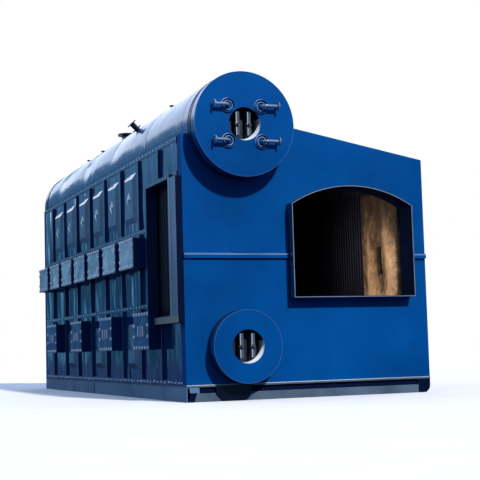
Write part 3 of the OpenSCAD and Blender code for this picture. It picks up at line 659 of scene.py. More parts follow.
def make_finishes(paints):
    """The finishes of the boiler, each under its own name."""
    blue, navy, lining = tuple(paints.enamel), tuple(paints.side_enamel), tuple(paints.lining)
    jacket_seams = (FRONT + RIB_PLACES[1], 2 * (RIB_PLACES[1] - RIB_PLACES[0]))
    # Name: colour, gloss, wave, scale of the wave, coat, dust, sheen
    enamels = {
        "front": (blue, 0.36, 0.010, (1.3, 1.3, 1.1), 0.0, 0.0, 0.03),
        "rim": (dim(blue, 0.8), 0.12, 0.003, (4.0, 4.0, 4.0), 0.55, 0.02, 0.4),
        "side": (navy, 0.07, 0.048, (2.4, 2.4, 0.8), 1.0, 0.03, 0.5),
        "trim": (dim(navy, 1.1), 0.16, 0.004, (6.0, 6.0, 6.0), 1.0, 0.15, 0.5),
        "rib": (navy, 0.22, 0.004, (6.0, 6.0, 2.0), 0.4, 0.10, 0.4),
        # Near-black navy: painted shade on the drum hoops, the recesses' upper sides, the right beam's ends
        # and the lining's slot.
        "shade": (dim(navy, 0.13), 0.3, 0.003, (6.0, 6.0, 6.0), 0.1, 0.02, 0.2),
        # Near-black glossy navy; on the burner collar and the lower drum's saddles it is painted shade.
        "collar": (dim(navy, 0.13), 0.2, 0.003, (6.0, 6.0, 6.0), 0.6, 0.02, 0.3),
        "tray": (tuple(paints.tray_enamel), 0.2, 0.007, (3.0, 3.0, 1.4), 1.0, 0.5, 0.5),
        "frame": (dim(navy, 0.8), 0.2, 0.004, (5.0, 5.0, 0.8), 1.0, 0.5, 0.5),
        "jacket": (
            tuple(paints.jacket_enamel), 0.12, 0.026, (1.7, 1.3, 1.7), 0.52, 0.1, 0.3, jacket_seams),
        # Pale blue-grey of rivets and bolts; on the yoke bars' edges it is painted highlight.
        "rivet": ((0.42, 0.52, 0.66), 0.3, 0.001, (6.0, 6.0, 6.0), 0.0, 0.0, 0.4),
        # Near-white paint of rivets, bolts and grips; on the floor plate's edges it is painted highlight.
        "bright": ((0.80, 0.87, 0.96), 0.3, 0.001, (6.0, 6.0, 6.0), 0.0, 0.0, 0.4),
        "box": ((0.001, 0.022, 0.115), 0.4, 0.002, (6.0, 6.0, 6.0), 0.0, 0.0, 0.15),
        # Paler blue for the covers' edge bands: painted highlights.
        "cover_lip": ((0.05, 0.14, 0.36), 0.2, 0.001, (6.0, 6.0, 6.0), 1.0, 0.0, 0.5),
        # Pale blue-grey: painted light on the window member's outer face.
        "facing": ((0.15, 0.21, 0.31), 0.3, 0.02, (3.0, 3.0, 0.7), 0.7, 0.3, 0.5),
        # Paler still: painted highlights along the window's edges.
        "lip": ((0.24, 0.29, 0.38), 0.3, 0.01, (3.0, 3.0, 0.7), 0.7, 0.2, 0.5),
        # Flat near-black navy: painted shade on the arch's jamb, the window member's front, the beam ends
        # and the gap under the casing.
        "liner": ((0.0, 0.005, 0.030), 0.6, 0.002, (6.0, 6.0, 6.0), 0.0, 0.0, 0.05),
        "pipe": ((0.10, 0.16, 0.28), 0.22, 0.0005, (6.0, 6.0, 6.0), 1.0, 0.0, 1.0),
        "dark_nut": ((0.004, 0.007, 0.016), 0.3, 0.001, (6.0, 6.0, 6.0), 0.2, 0.0, 0.3),
    }
    # Name: colour, lowest and highest roughness
    satins = {
        # One beam paint in two copies: a little darker on the sunlit beams, and lightened on the left beam
        # as painted light on its shaded side.
        "beam": (dim(paints.beam_paint, 0.9), 0.42, 0.7),
        "side_beam": (dim(paints.beam_paint, 1.6), 0.42, 0.7),
        # Light blue of the foot posts; on the ribs' top edges it is painted highlight.
        "post": ((0.10, 0.21, 0.40), 0.3, 0.5),
        # Pale blue-grey for edges: painted highlights on the ribs' edges and the arch's bar.
        "pale_edge": ((0.17, 0.24, 0.34), 0.3, 0.5),
        "sill": ((0.19, 0.215, 0.185), 0.4, 0.6),
        "ring": ((0.34, 0.46, 0.64), 0.3, 0.5),
        "yoke": ((0.060, 0.085, 0.125), 0.24, 0.4),
        # Pale: painted reflection inside the manhole recesses.
        "recess": ((0.62, 0.68, 0.78), 0.3, 0.5),
    }
    finishes = {
        "hatch": plate_steel("hatch_plate", (0.86, 0.95, 1.0), 0.21),
        "low_hatch": plate_steel("low_hatch_plate", (0.050, 0.150, 0.310), 0.30),
        "tube": mill_scale("tube_scale", (0.003, 0.007, 0.030), 0.05),
        "drum": mill_scale("drum_scale", (0.008, 0.012, 0.024), 0.1),
        "steel": machined("filed_steel", (0.42, 0.43, 0.46), 0.32),
        "fibre": fire_fibre("fire_fibre", lining),
        "brick": fire_brick("fire_brick", lining),
    }
    finishes.update({name: enamel(f"{name}_enamel", *row) for name, row in enamels.items()})
    finishes.update({name: satin(f"{name}_paint", *row) for name, row in satins.items()})
    return finishes


FINISH_BY_SLOT = {
    "blue_paint": "front", "casing_paint": "side", "trim_paint": "trim", "tray_paint": "tray",
    "base_paint": "beam", "tube_steel": "tube", "drum_steel": "drum", "bare_steel": "yoke",
    "refractory": "brick",
}
# The burner collar and the lower drum's saddles take painted shade; the left beam takes painted light.
FINISH_BY_NODE = {
    "upper_barrels": "rim", "lower_barrels": "rim", "upper_jacket": "jacket", "left_ribs": "rib",
    "right_ribs": "rib", "upper_hatch_boxes": "box", "lower_hatch_boxes": "box",
    "upper_hatch_plates": "hatch", "lower_hatch_plates": "low_hatch", "flue_window_frame": "frame",
    "gauge_nozzles": "pipe", "gauge_sleeves": "rim", "ridge_nozzles": "collar",
    "inclined_nozzle": "collar", "lower_drum_saddles": "collar", "base_beam_left": "side_beam",
    "burner_collar": "collar", "foot_posts": "post",
}


def finish_of(name):
    return bpy.data.materials[bpy.context.scene["boiler_finishes"][name]]


# Settings

class BoilerPaints(bpy.types.PropertyGroup):
    enamel: FloatVectorProperty(
        name="Front enamel", description="Blue of the end walls and drum covers",
        subtype="COLOR", size=3, min=0.0, max=1.0, default=(0.0, 0.066, 0.268))
    side_enamel: FloatVectorProperty(
        name="Side enamel", description="Blue of the ribbed side sheets",
        subtype="COLOR", size=3, min=0.0, max=1.0, default=(0.0008, 0.024, 0.112))
    tray_enamel: FloatVectorProperty(
        name="Tray enamel", description="Blue of the pressed trays",
        subtype="COLOR", size=3, min=0.0, max=1.0, default=(0.060, 0.130, 0.220))
    beam_paint: FloatVectorProperty(
        name="Beam paint", description="Dull paint of the base beams",
        subtype="COLOR", size=3, min=0.0, max=1.0, default=(0.066, 0.118, 0.190))
    jacket_enamel: FloatVectorProperty(
        name="Jacket enamel", description="Blue of the upper drum's jacket",
        subtype="COLOR", size=3, min=0.0, max=1.0, default=(0.014, 0.070, 0.200))
    lining: FloatVectorProperty(
        name="Lining", description="Colour of the fibre lining and the bricks",
        subtype="COLOR", size=3, min=0.0, max=1.0, default=(0.66, 0.40, 0.22))


class BoilerSizes(bpy.types.PropertyGroup):
    rivet_pitch: FloatProperty(
        name="Rivet pitch", description="Distance between rivets on the long strips",
        unit="LENGTH", min=0.05, default=0.153)
    rivet_radius: FloatProperty(
        name="Rivet radius", description="Radius of a rivet head",
        unit="LENGTH", min=0.004, default=0.0135)
    hatch_bolt_radius: FloatProperty(
        name="Hatch bolt radius", description="Radius of the hexagon heads round a hatch plate",
        unit="LENGTH", min=0.004, default=0.019)
    sheet_dent: FloatProperty(
        name="Sheet dent", description="How far the side sheets bulge and dish between the ribs",
        unit="LENGTH", min=0.0, max=0.007, default=0.0055)
    weld_radius: FloatProperty(
        name="Weld radius", description="Half width of a weld bead",
        unit="LENGTH", min=0.002, default=0.006)
    wear_seed: IntProperty(
        name="Wear seed", description="Chooses the worn spots of the bottom strip", min=0, default=11)


class BoilerStage(bpy.types.PropertyGroup):
    lens: FloatProperty(
        name="Lens", description="Focal length on a 36 mm sensor", min=10.0, default=87.46)
    camera_place: FloatVectorProperty(
        name="Camera place", description="Where the camera stands, from the casing's corner",
        subtype="TRANSLATION", size=3, default=(-4.5645, -13.5365, 0.6288))
    camera_turn: FloatProperty(
        name="Camera turn", description="Turn of the view to the right of the boiler's axis",
        subtype="ANGLE", default=math.radians(21.44))
    camera_pitch: FloatProperty(
        name="Camera pitch", description="Upward tilt of the view", subtype="ANGLE",
        default=math.radians(5.35))
    camera_roll: FloatProperty(
        name="Camera roll", description="Roll of the view", subtype="ANGLE",
        default=math.radians(-1.604))
    sun_strength: FloatProperty(
        name="Key light", description="Strength of the key light", min=0.0, default=3.4)
    sky_strength: FloatProperty(
        name="Sky", description="Strength of the light from above", min=0.0, default=1.0)


# Stage

def aim_camera(stage):
    """Places the camera and turns it by its turn, pitch and roll."""
    turn, pitch, roll = stage.camera_turn, stage.camera_pitch, stage.camera_roll
    ahead = Vector((math.sin(turn), math.cos(turn), 0.0))
    right = Vector((math.cos(turn), -math.sin(turn), 0.0))
    up = Vector((0.0, 0.0, 1.0))
    view = math.cos(pitch) * ahead + math.sin(pitch) * up
    lifted = math.cos(pitch) * up - math.sin(pitch) * ahead
    side = math.cos(roll) * right + math.sin(roll) * lifted
    top = math.cos(roll) * lifted - math.sin(roll) * right
    data = bpy.data.cameras.new("camera")
    data.lens = stage.lens
    data.sensor_width = 36.0
    data.clip_end = 400.0
    camera = add_object("camera", data)
    turned = Matrix((side, top, -view)).transposed().to_4x4()
    camera.matrix_world = Matrix.Translation(at(*stage.camera_place)) @ turned
    bpy.context.scene.camera = camera


def light_world(stage):
    """Bright sky over dark trees near the horizon; the camera sees plain white."""
    world = bpy.data.worlds.new("studio_sky")
    world.use_nodes = True
    bpy.context.scene.world = world
    t = Tree(world.node_tree)
    t.place = t.add("ShaderNodeTexCoord").outputs["Generated"]
    parts = t.add("ShaderNodeSeparateXYZ", Vector=t.place).outputs
    skyline = t.noise(1.6, 4.0, 0.6, stretch=(3.0, 3.0, 0.6))
    edge = t.spread(t.math("ADD", parts["Z"], t.spread(skyline, 0.25, 0.75, -0.09, 0.09)), 0.20, 0.23)
    sky = t.blend(t.spread(parts["Z"], 0.2, 0.9), (0.78, 0.92, 1.16, 1.0), (0.34, 0.51, 0.88, 1.0))
    leaves = t.blend(t.noise(14.0, 4.0, 0.7), (0.001, 0.010, 0.038, 1.0), (0.022, 0.088, 0.142, 1.0))
    patches = t.noise(1.0, 5.0, 0.62, stretch=(5.0, 5.0, 4.0))
    hazy = t.blend(t.spread(patches, 0.42, 0.58), leaves, (0.055, 0.185, 0.345, 1.0))
    gaps = t.blend(t.spread(patches, 0.57, 0.64), hazy, (0.50, 0.70, 0.85, 1.0))
    misty = t.blend(t.spread(parts["Z"], 0.06, 0.15, 0.0, 0.26), gaps, (0.12, 0.29, 0.53, 1.0))
    weight = t.math("MULTIPLY", t.spread(parts["Y"], -1.0, 1.0, 0.35, 1.6), stage.sky_strength)
    seen = t.add("ShaderNodeLightPath").outputs["Is Camera Ray"]
    background = t.tree.nodes["Background"].inputs
    t.feed(background["Color"], t.blend(seen, t.blend(edge, misty, sky), (1.0, 1.0, 1.0, 1.0)))
    t.feed(background["Strength"], t.spread(seen, 0.0, 1.0, weight, 1.0))


def light_key(stage):
    """The key light comes from the front, a little from the right, well above."""
    data = bpy.data.lights.new("key", "SUN")
    data.energy = stage.sun_strength
    data.angle = math.radians(3.0)
    data.color = (1.0, 0.97, 0.92)
    azimuth, height = math.radians(10.0), math.radians(37.0)
    towards = Vector((
        math.sin(azimuth) * math.cos(height), -math.cos(azimuth) * math.cos(height), math.sin(height)))
    add_object("key", data).rotation_euler = towards.to_track_quat("Z", "Y").to_euler()


def light_furnace():
    """A small lamp behind the front wall that shows the furnace's lining."""
    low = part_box("burner_collar")[0]
    data = bpy.data.lights.new("furnace_lamp", "AREA")
    data.shape = "RECTANGLE"
    data.size = 0.7
    data.size_y = 1.1
    data.energy = 7.0
    data.spread = math.radians(100)
    data.color = (1.0, 0.90, 0.78)
    lamp = add_object("furnace_lamp", data)
    lamp.location = Vector((low.x + COLLAR, FRONT + END_WALL + 0.42, low.z + 0.75))
    lamp.rotation_euler = Vector((-1.0, 0.0, 0.12)).to_track_quat("Z", "Y").to_euler()
    lamp.visible_camera = False


def lay_floor():
    """A plain pale floor under the boiler."""

    def build(form):
        bmesh.ops.create_circle(form, cap_ends=True, segments=64, radius=60.0)

    floor = add_object("floor", mesh_from("floor", build))
    t = Finish("pale_floor")
    grain = t.spread(t.noise(1.5, 4.0, 0.5), 0.3, 0.7)
    pale = t.blend(grain, (0.89, 0.86, 0.83, 1.0), (0.93, 0.90, 0.87, 1.0))
    seen = t.add("ShaderNodeLightPath").outputs["Is Camera Ray"]
    floor.data.materials.append(t.done(
        Base_Color=t.blend(seen, (0.030, 0.060, 0.116, 1.0), pale), Roughness=0.9,
        Specular_IOR_Level=0.0))


class BOILER_OT_stage(bpy.types.Operator):
    """Sets the camera, the lights and the floor"""
    bl_idname = "boiler.stage"
    bl_label = "Stage"

    def execute(self, context):
        stage = context.scene.boiler_stage
        aim_camera(stage)
        light_world(stage)
        light_key(stage)
        light_furnace()
        lay_floor()
        context.scene.view_settings.view_transform = "Standard"
        return {"FINISHED"}


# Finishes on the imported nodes

class BOILER_OT_finishes(bpy.types.Operator):
    """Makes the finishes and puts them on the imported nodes"""
    bl_idname = "boiler.finishes"
    bl_label = "Finishes"

    def execute(self, context):
        finishes = make_finishes(context.scene.boiler_paints)
        context.scene["boiler_finishes"] = {name: m.name for name, m in finishes.items()}
        for part in frame["record"]["subparts"]:
            finish = FINISH_BY_NODE.get(part["node"], FINISH_BY_SLOT[part["material_slot"]])
            materials = frame["nodes"][part["node"]].data.materials
            materials.clear()
            materials.append(finishes[finish])
        return {"FINISHED"}


# Side sheets

def free_rectangles(spans, tiers, hole):
    """Rectangles between the ribs and strips, cut round a hole."""
    result = []
    for y0, y1 in spans:
        for z0, z1 in tiers:
            if hole is None or y1 <= hole[0] or y0 >= hole[1] or z1 <= hole[2] or z0 >= hole[3]:
                result.append((y0, y1, z0, z1))
                continue
            low, high = max(z0, hole[2]), min(z1, hole[3])
            pieces = (
                (y0, y1, z0, hole[2]), (y0, y1, hole[3], z1), (y0, hole[0], low, high),
                (hole[1], y1, low, high))
            result.extend(p for p in pieces if min(p[1] - p[0], p[3] - p[2]) > SMALLEST_SPAN)
    return result


def dent(y, z, side):
    """Height of the sheet's surface, between 0 and 1, as thin sheet buckles over its stiffeners."""
    broad = noise.noise(Vector((y * 1.9, z * 0.8, 3.7 + side)))
    long = noise.noise(Vector((y * 5.2, z * 0.9, 9.1 + side)))
    return 0.5 + 0.38 * broad + 0.3 * long


def add_sheet(form, rectangle, face, inward, depth, side):
    """A dented sheet over a rectangle of a side wall, closed behind."""
    y0, y1, z0, z1 = rectangle
    ny = max(2, math.ceil((y1 - y0) / SHEET_CELL))
    nz = max(2, math.ceil((z1 - z0) / (1.6 * SHEET_CELL)))
    rows = []
    for i, y in enumerate(evenly(y0, y1, ny)):
        rows.append([])
        for k, z in enumerate(evenly(z0, z1, nz)):
            rim = min(1.0, min(i, ny - i, k, nz - k) / 3.0)
            rise = depth * max(0.05, min(1.0, dent(y, z, side))) * rim
            rows[-1].append(form.verts.new(at(face - inward * rise, y, z)))
    close_sheet(form, rows, lambda place: place + Vector((inward * 0.002, 0, 0)))


def side_spans():
    """Spans along the boiler between the ribs."""
    edge = RIB_THICKNESS / 2
    walls = [END_WALL] + [y + s * edge for y in RIB_PLACES for s in (-1, 1)] + [LENGTH - END_WALL]
    return list(zip(walls[0::2], walls[1::2]))


def strip_tiers(top):
    """Heights between the strips, and from the uppermost one to the top."""
    edge = STRIP_HEIGHT / 2
    return list(zip([z + edge for z in WALL_STRIPS], [z - edge for z in WALL_STRIPS[1:]] + [top]))


LEFT_TIERS = strip_tiers(EAVE_STRIP - STRIP_HEIGHT / 2)


class BOILER_OT_side_sheets(bpy.types.Operator):
    """Dented sheets between the ribs and strips of both side walls"""
    bl_idname = "boiler.side_sheets"
    bl_label = "Side sheets"

    def execute(self, context):
        depth = context.scene.boiler_sizes.sheet_dent
        right_tiers = strip_tiers(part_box("right_strips")[1].z - STRIP_HEIGHT)
        for name, tiers, hole, face, inward, side in (
                ("left_sheets", LEFT_TIERS, WINDOW, 0.0, 1.0, 0.0),
                ("right_sheets", right_tiers, None, WIDTH, -1.0, 40.0)):

            def build(form):
                for rectangle in free_rectangles(side_spans(), tiers, hole):
                    add_sheet(form, rectangle, face, inward, depth, side)

            make_piece(name, build, "side", "casing_paint")
        return {"FINISHED"}


def clear_spans(low, high, blocks):
    """What is left of an upright span between the blocks that cross it."""
    spans = []
    for start, end in sorted(blocks):
        if end > low and start < high:
            spans.append((low, start))
            low = end
    spans.append((low, high))
    return [(z0, z1) for z0, z1 in spans if z1 - z0 > SMALLEST_SPAN]


class BOILER_OT_rib_edges(bpy.types.Operator):
    """Pale strips along the outer edges of the ribs on the left: painted highlights"""
    bl_idname = "boiler.rib_edges"
    bl_label = "Rib edges"

    def execute(self, context):
        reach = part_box("left_ribs")[0].x - LEFT
        blocks = UPPER_HATCHES + LOWER_HATCHES + [WINDOW]
        boxes = []
        for y in RIB_PLACES:
            crossing = [(z0 - 0.01, z1 + 0.01) for y0, y1, z0, z1 in blocks if y0 < y < y1]
            for tier in LEFT_TIERS:
                for z0, z1 in clear_spans(*tier, crossing):
                    boxes.append((at(reach - 0.001, y - 0.005, z0), at(reach + 0.001, y + 0.005, z1)))
        # Painted highlights along the ribs' outer edges.
        make_boxes("rib_edges", boxes, "pale_edge", "trim_paint")
        return {"FINISHED"}


# Rivets and bolts

def strip_paths(face, heights, hole):
    """Straight rows along the riveted strips, broken at a hole."""
    paths = []
    for z in heights:
        broken = hole and hole[2] < z < hole[3]
        start = hole[1] + 0.05 if broken else END_WALL + 0.06
        paths.append(line(at(face, start, z), at(face, LENGTH - END_WALL - 0.06, z)))
    return paths


class BOILER_OT_strip_rivets(bpy.types.Operator):
    """Rivet heads along the strips of both sides"""
    bl_idname = "boiler.strip_rivets"
    bl_label = "Strip rivets"

    def execute(self, context):
        sizes = context.scene.boiler_sizes
        right_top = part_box("right_strips")[1].z - STRIP_HEIGHT / 2
        for name, face, top, hole, outward in (
                ("left_rivets", -STRIP_REACH, EAVE_STRIP, WINDOW, (-1, 0, 0)),
                ("right_rivets", WIDTH + STRIP_REACH, right_top, None, (1, 0, 0))):
            paths = strip_paths(face, WALL_STRIPS + [top], hole)
            fasten(
                "rivet", name, "trim_paint", paths, outward, "bright", sizes.rivet_pitch,
                sizes.rivet_radius, 0.008)
        return {"FINISHED"}


class BOILER_OT_strip_wear(bpy.types.Operator):
    """Worn pale spots along the bottom strip of the left side"""
    bl_idname = "boiler.strip_wear"
    bl_label = "Strip wear"

    def execute(self, context):
        chance = random.Random(context.scene.boiler_sizes.wear_seed)
        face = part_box("left_strips")[0].x - LEFT
        boxes = []
        y = 0.12
        while y < LENGTH - 0.2:
            far = y + chance.uniform(0.02, 0.08)
            z = BOTTOM_STRIP + chance.uniform(-0.026, -0.006)
            top = z + chance.uniform(0.012, 0.030)
            boxes.append((at(face - 0.0007, y, z), at(face + 0.001, far, top)))
            y = far + chance.uniform(0.04, 0.15)
        make_boxes("strip_wear", boxes, "ring", "trim_paint")
        return {"FINISHED"}


class BOILER_OT_hatch_bolts(bpy.types.Operator):
    """Hexagon heads with washers round every hatch plate, and the bars of its grips"""
    bl_idname = "boiler.hatch_bolts"
    bl_label = "Hatch bolts"

    def execute(self, context):
        radius = context.scene.boiler_sizes.hatch_bolt_radius
        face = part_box("upper_hatch_plates")[0].x - LEFT
        inset, across = 0.024, 6
        for label, plates, up in (("upper", UPPER_HATCHES, 3), ("lower", LOWER_HATCHES, 2)):
            rows, sides = [], []
            for y0, y1, z0, z1 in plates:
                near, far, low, high = y0 + inset, y1 - inset, z0 + inset, z1 - inset
                step = (high - low) / (up + 1)
                rows.extend(line(at(face, near, z), at(face, far, z)) for z in (low, high))
                sides.extend(line(at(face, y, low + step), at(face, y, high - step)) for y in (near, far))
            for kind, paths, pitch in (("row", rows, (far - near) / (across - 1)), ("side", sides, step)):
                fasten(
                    "bolt", f"{label}_hatch_{kind}_bolts", "bare_steel", paths, (-1, 0, 0), "bright",
                    pitch, radius, 0.012)
        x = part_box("lower_hatch_plates")[0].x - LEFT
        boxes = []
        for y0, y1, z0, z1 in LOWER_HATCHES:
            for side in (-1, 0, 1):
                y, z = (y0 + y1) / 2 + side * GRIP_PITCH, (z0 + z1) / 2
                boxes.append((
                    at(x + 0.0002, y - 0.015, z - 0.066), at(x + 0.0145, y + 0.015, z + 0.066)))
        make_boxes("hatch_grips", boxes, "bright", "bare_steel")
        return {"FINISHED"}


# Drum covers and jacket

class BOILER_OT_drum_hoops(bpy.types.Operator):
    """Near-black hoops round the drum covers, painted shade that stands for the grooves between bands, and
    the covers' lips in a paler blue, painted highlights
    """
    bl_idname = "boiler.drum_hoops"
    bl_label = "Drum hoops"

    def execute(self, context):
        hoops, lips = [], []
        for height, radius, reach in DRUMS:
            for y0, y1 in ((-reach * 0.50, -reach * 0.34), (-reach * 0.22, -reach * 0.12)):
                hoops.append(hoop(height, band(radius, 0.004, y0, y1)))
                hoops.append(hoop(height, band(radius, 0.004, LENGTH - y1, LENGTH - y0)))
            for y in (-reach - 0.002, LENGTH + reach - 0.008):
                lips.append(hoop(height, band(radius - 0.001, 0.0035, y, y + 0.008)))
        # The hoops are painted shade: near-black lines for the grooves between bands.
        make_shells("drum_hoops", hoops, "shade", "blue_paint", True, 25.0)
        # The covers' edge bands are a paler blue: painted highlights.
        make_shells("cover_lips", lips, "cover_lip", "blue_paint", True)
        return {"FINISHED"}


class BOILER_OT_jacket_seams(bpy.types.Operator):
    """Cover bands over the jacket's seams, its flashings and their rivets"""
    bl_idname = "boiler.jacket_seams"
    bl_label = "Jacket seams"

    def execute(self, context):
        sizes = context.scene.boiler_sizes
        start, end = roof_angle() + 1.0, eave_angle() - 1.0
        left, right = end - 0.6, start + 1.2
        places = [END_WALL + 0.03] + RIB_PLACES[1::2] + [LENGTH - END_WALL - 0.03]
        bands = [
            hoop(UPPER_Z, band(UPPER_R, 0.0015, y - 0.020, y + 0.020), start, end, 64) for y in places]
        make_shells("jacket_bands", bands, "jacket", "tray_paint")
        flashings = []
        for angle, thickness in ((left, 0.004), (end - 7.5, 0.003), (right, 0.004)):
            a0, a1 = math.radians(angle - 1.1), math.radians(angle + 1.1)
            inner, outer = UPPER_R - 0.002, UPPER_R + thickness
            corners = ((inner, a0), (outer, a0), (outer, a1), (inner, a1))
            flashings.append([
                [polar(r, y, UPPER_Z, a) for r, a in corners] for y in (END_WALL, LENGTH - END_WALL)])
        make_shells("jacket_flashing", flashings, "trim", "trim_paint")
        for side, angle in (("left", left), ("right", right)):
            a = math.radians(angle)
            ends = [
                polar(UPPER_R + 0.004, y, UPPER_Z, a) for y in (END_WALL + 0.06, LENGTH - END_WALL - 0.06)]
            fasten(
                "rivet", f"jacket_{side}_rivets", "trim_paint", [line(*ends)],
                (math.cos(a), 0.0, math.sin(a)), "rivet", sizes.rivet_pitch, sizes.rivet_radius, 0.007)
        return {"FINISHED"}


class BOILER_OT_manholes(bpy.types.Operator):
    """Painted reflection and painted shade in the manhole recesses, painted highlights on the yoke bars'
    edges, and the yokes' nuts and washers
    """
    bl_idname = "boiler.manholes"
    bl_label = "Manholes"

    def execute(self, context):
        skin = RECESS_R - 0.0015
        # A pale painted reflection on the lower right of each recess, and near-black painted shade over the
        # rest.
        for name, finish, start, end in (
                ("recess_painted_reflection", "recess", -110.0, 20.0), ("recess_shade", "shade", 22.0, 248.0)):
            shells = []
            for height, y0, y1 in ((UPPER_Z, -UPPER_REACH, -0.105), (LOWER_Z, -LOWER_REACH, -0.038)):
                profile = [(RECESS_R, y0 + 0.001), (RECESS_R, y1), (skin, y1), (skin, y0 + 0.001)]
                shells.append(hoop(height, profile, start, end, 60))
            make_shells(name, shells, finish, "bare_steel")
        # Pale crescents inside the recesses' rims: painted reflection.
        shells = []
        outer = RECESS_R - 0.0018
        for height, radius, reach in DRUMS:
            shells.append([])
            for part in evenly(0.0, 1.0, 40):
                angle = math.radians(-122.0 + 132.0 * part)
                inner = RECESS_R - 0.003 - 0.036 * math.sin(math.pi * part ** 1.3) ** 0.9
                corners = ((outer, 0.010), (outer, 0.013), (inner, 0.043), (inner, 0.040))
                shells[-1].append([polar(r, y - reach, height, angle) for r, y in corners])
        make_shells("recess_reflection_crescents", shells, "recess", "bare_steel")
        stud_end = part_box("manhole_yokes")[0].y - FRONT
        studs = [
            at(DRUM_X + side * STUD_OFFSET, stud_end + 0.028 + shift, height)
            for height, shift in ((UPPER_Z, 0.0), (LOWER_Z, 0.0675)) for side in (-1, 1)]
        # Pale strips on the yoke bars' left edges: painted highlights.
        edges = [
            (stud + Vector((-0.0222, -0.0012, -0.136)), stud + Vector((-0.0120, 0.001, 0.158)))
            for stud in studs]
        make_boxes("yoke_edge_highlights", edges, "rivet", "bare_steel")
        for name, radius, depth, finish, count in (
                ("yoke_washers", 0.031, 0.004, "steel", 24), ("yoke_nuts", 0.0265, 0.0215, "dark_nut", 6)):
            shells = [
                [circle_path(stud - Vector((0, y, 0)), radius, (1, 0, 0), (0, 0, 1), count)
                 for y in (0, depth)] for stud in studs]
            make_shells(name, shells, finish, "bare_steel", sharp=30.0)
        return {"FINISHED"}


class BOILER_OT_vent_spools(bpy.types.Operator):
    """Short flanged spool pieces on the jacket's small vents"""
    bl_idname = "boiler.vent_spools"
    bl_label = "Vent spools"

    def execute(self, context):
        profile = (
            (0.044, VENT_FOOT), (0.044, VENT_FOOT + 0.012), (0.020, VENT_FOOT + 0.016),
            (0.020, VENT_TOP - 0.016), (0.040, VENT_TOP - 0.012), (0.040, VENT_TOP))
        shells = []
        for bay in VENT_BAYS:
            y = RIB_PLACES[0] + bay * (RIB_PLACES[1] - RIB_PLACES[0])
            shells.append([circle_path(at(DRUM_X, y, z), r, (1, 0, 0), (0, 1, 0), 28) for r, z in profile])
        make_shells("vent_spools", shells, "collar", "blue_paint", sharp=30.0)
        return {"FINISHED"}


class BOILER_OT_nozzle_bolts(bpy.types.Operator):
    """Bolts of the level gauge flanges"""
    bl_idname = "boiler.nozzle_bolts"
    bl_label = "Nozzle bolts"

    def execute(self, context):
        low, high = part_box("gauge_nozzles")
        for name, x, outward in (("left", low.x, (-1, 0, 0)), ("right", high.x, (1, 0, 0))):
            paths = []
            for dz in (-GAUGE_OFFSET, GAUGE_OFFSET):
                centre = Vector((x, low.y + 0.055, UPPER_Z + dz))
                paths.append((circle_path(centre, GAUGE_BOLT_CIRCLE, (0, 1, 0), (0, 0, 1), 24), True))
            fasten(
                "bolt", f"gauge_{name}_bolts", "bare_steel", paths, outward, "steel",
                GAUGE_BOLT_CIRCLE * math.pi / 2, 0.0085, 0.009)
        return {"FINISHED"}


# Burner opening and lining

class BOILER_OT_arch_edge(bpy.types.Operator):
    """A pale bar round the burner opening, part bare steel edge and part painted highlight; a near-black
    sheet in its jamb, painted shade; and pale lines on the end walls' edges, painted highlights
    """
    bl_idname = "boiler.arch_edge"
    bl_label = "Arch edge"

    def execute(self, context):
        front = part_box("burner_collar")[0].y - FRONT
        # A pale bar round the opening: part bare steel edge, part painted highlight.
        bar = arch_shell((
            (0.002, front - 0.003), (0.011, front - 0.003), (0.011, front + 0.001), (0.002, front + 0.001)))
        make_shells("arch_edge", [bar], "pale_edge", "blue_paint", True)
        # A near-black sheet over the opening's jamb: painted shade.
        liner = arch_shell((
            (-0.0005, front + 0.004), (-0.0005, END_WALL - 0.001), (-0.003, END_WALL - 0.001),
            (-0.003, front + 0.004)))
        make_shells("arch_painted_shade", [liner], "liner", "blue_paint", True)
        # Pale lines along the floor plate's top edges: painted highlights.
        low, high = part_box("floor_plate")
        boxes = [
            (Vector((low.x, y - 0.0015, high.z - 0.004)), Vector((high.x, y + 0.0015, high.z + 0.001)))
            for y in (low.y, high.y)]
        make_boxes("bottom_edge_highlight", boxes, "bright", "base_paint")
        # Light blue lines along the top of the end walls' ribs: painted highlights.
        low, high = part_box("front_rib")
        near = low.y - FRONT
        boxes = [
            (at(x0, y - 0.0012, high.z - 0.020), at(x1, y + 0.0012, high.z + 0.0005))
            for y, x0, x1 in ((near, 0.0, 1.40), (near, 3.14, WIDTH), (LENGTH - near, 0.0, WIDTH))]
        make_boxes("rib_top_highlight", boxes, "post", "blue_paint")
        return {"FINISHED"}


def lining_relief(y, z):
    """How far the fibre stands out: two upright rolls with a hollow between, fuzzy all over."""
    right = math.exp(-((y - 0.36 - 0.04 * math.sin(3.0 * z)) / 0.15) ** 2)
    left = math.exp(-((y - 0.90) / 0.11) ** 2) * (0.6 + 0.4 * math.exp(-((z - 1.7) / 0.4) ** 2))
    foot = math.exp(-((z - 1.28) / 0.2) ** 2) * math.exp(-((y - 0.75) / 0.3) ** 2)
    top = 1.0 - 0.7 * max(0.0, min(1.0, (z - 1.95) / 0.5))
    coarse = noise.fractal(Vector((5.0 * y, 3.0 * z, 2.0)), 1.0, 2.0, 4)
    fine = noise.fractal(Vector((24.0 * y, 18.0 * z, 7.0)), 1.0, 2.0, 3)
    return 0.012 + 0.055 * right * top + 0.038 * left * top + 0.030 * foot + 0.012 * coarse + 0.004 * fine


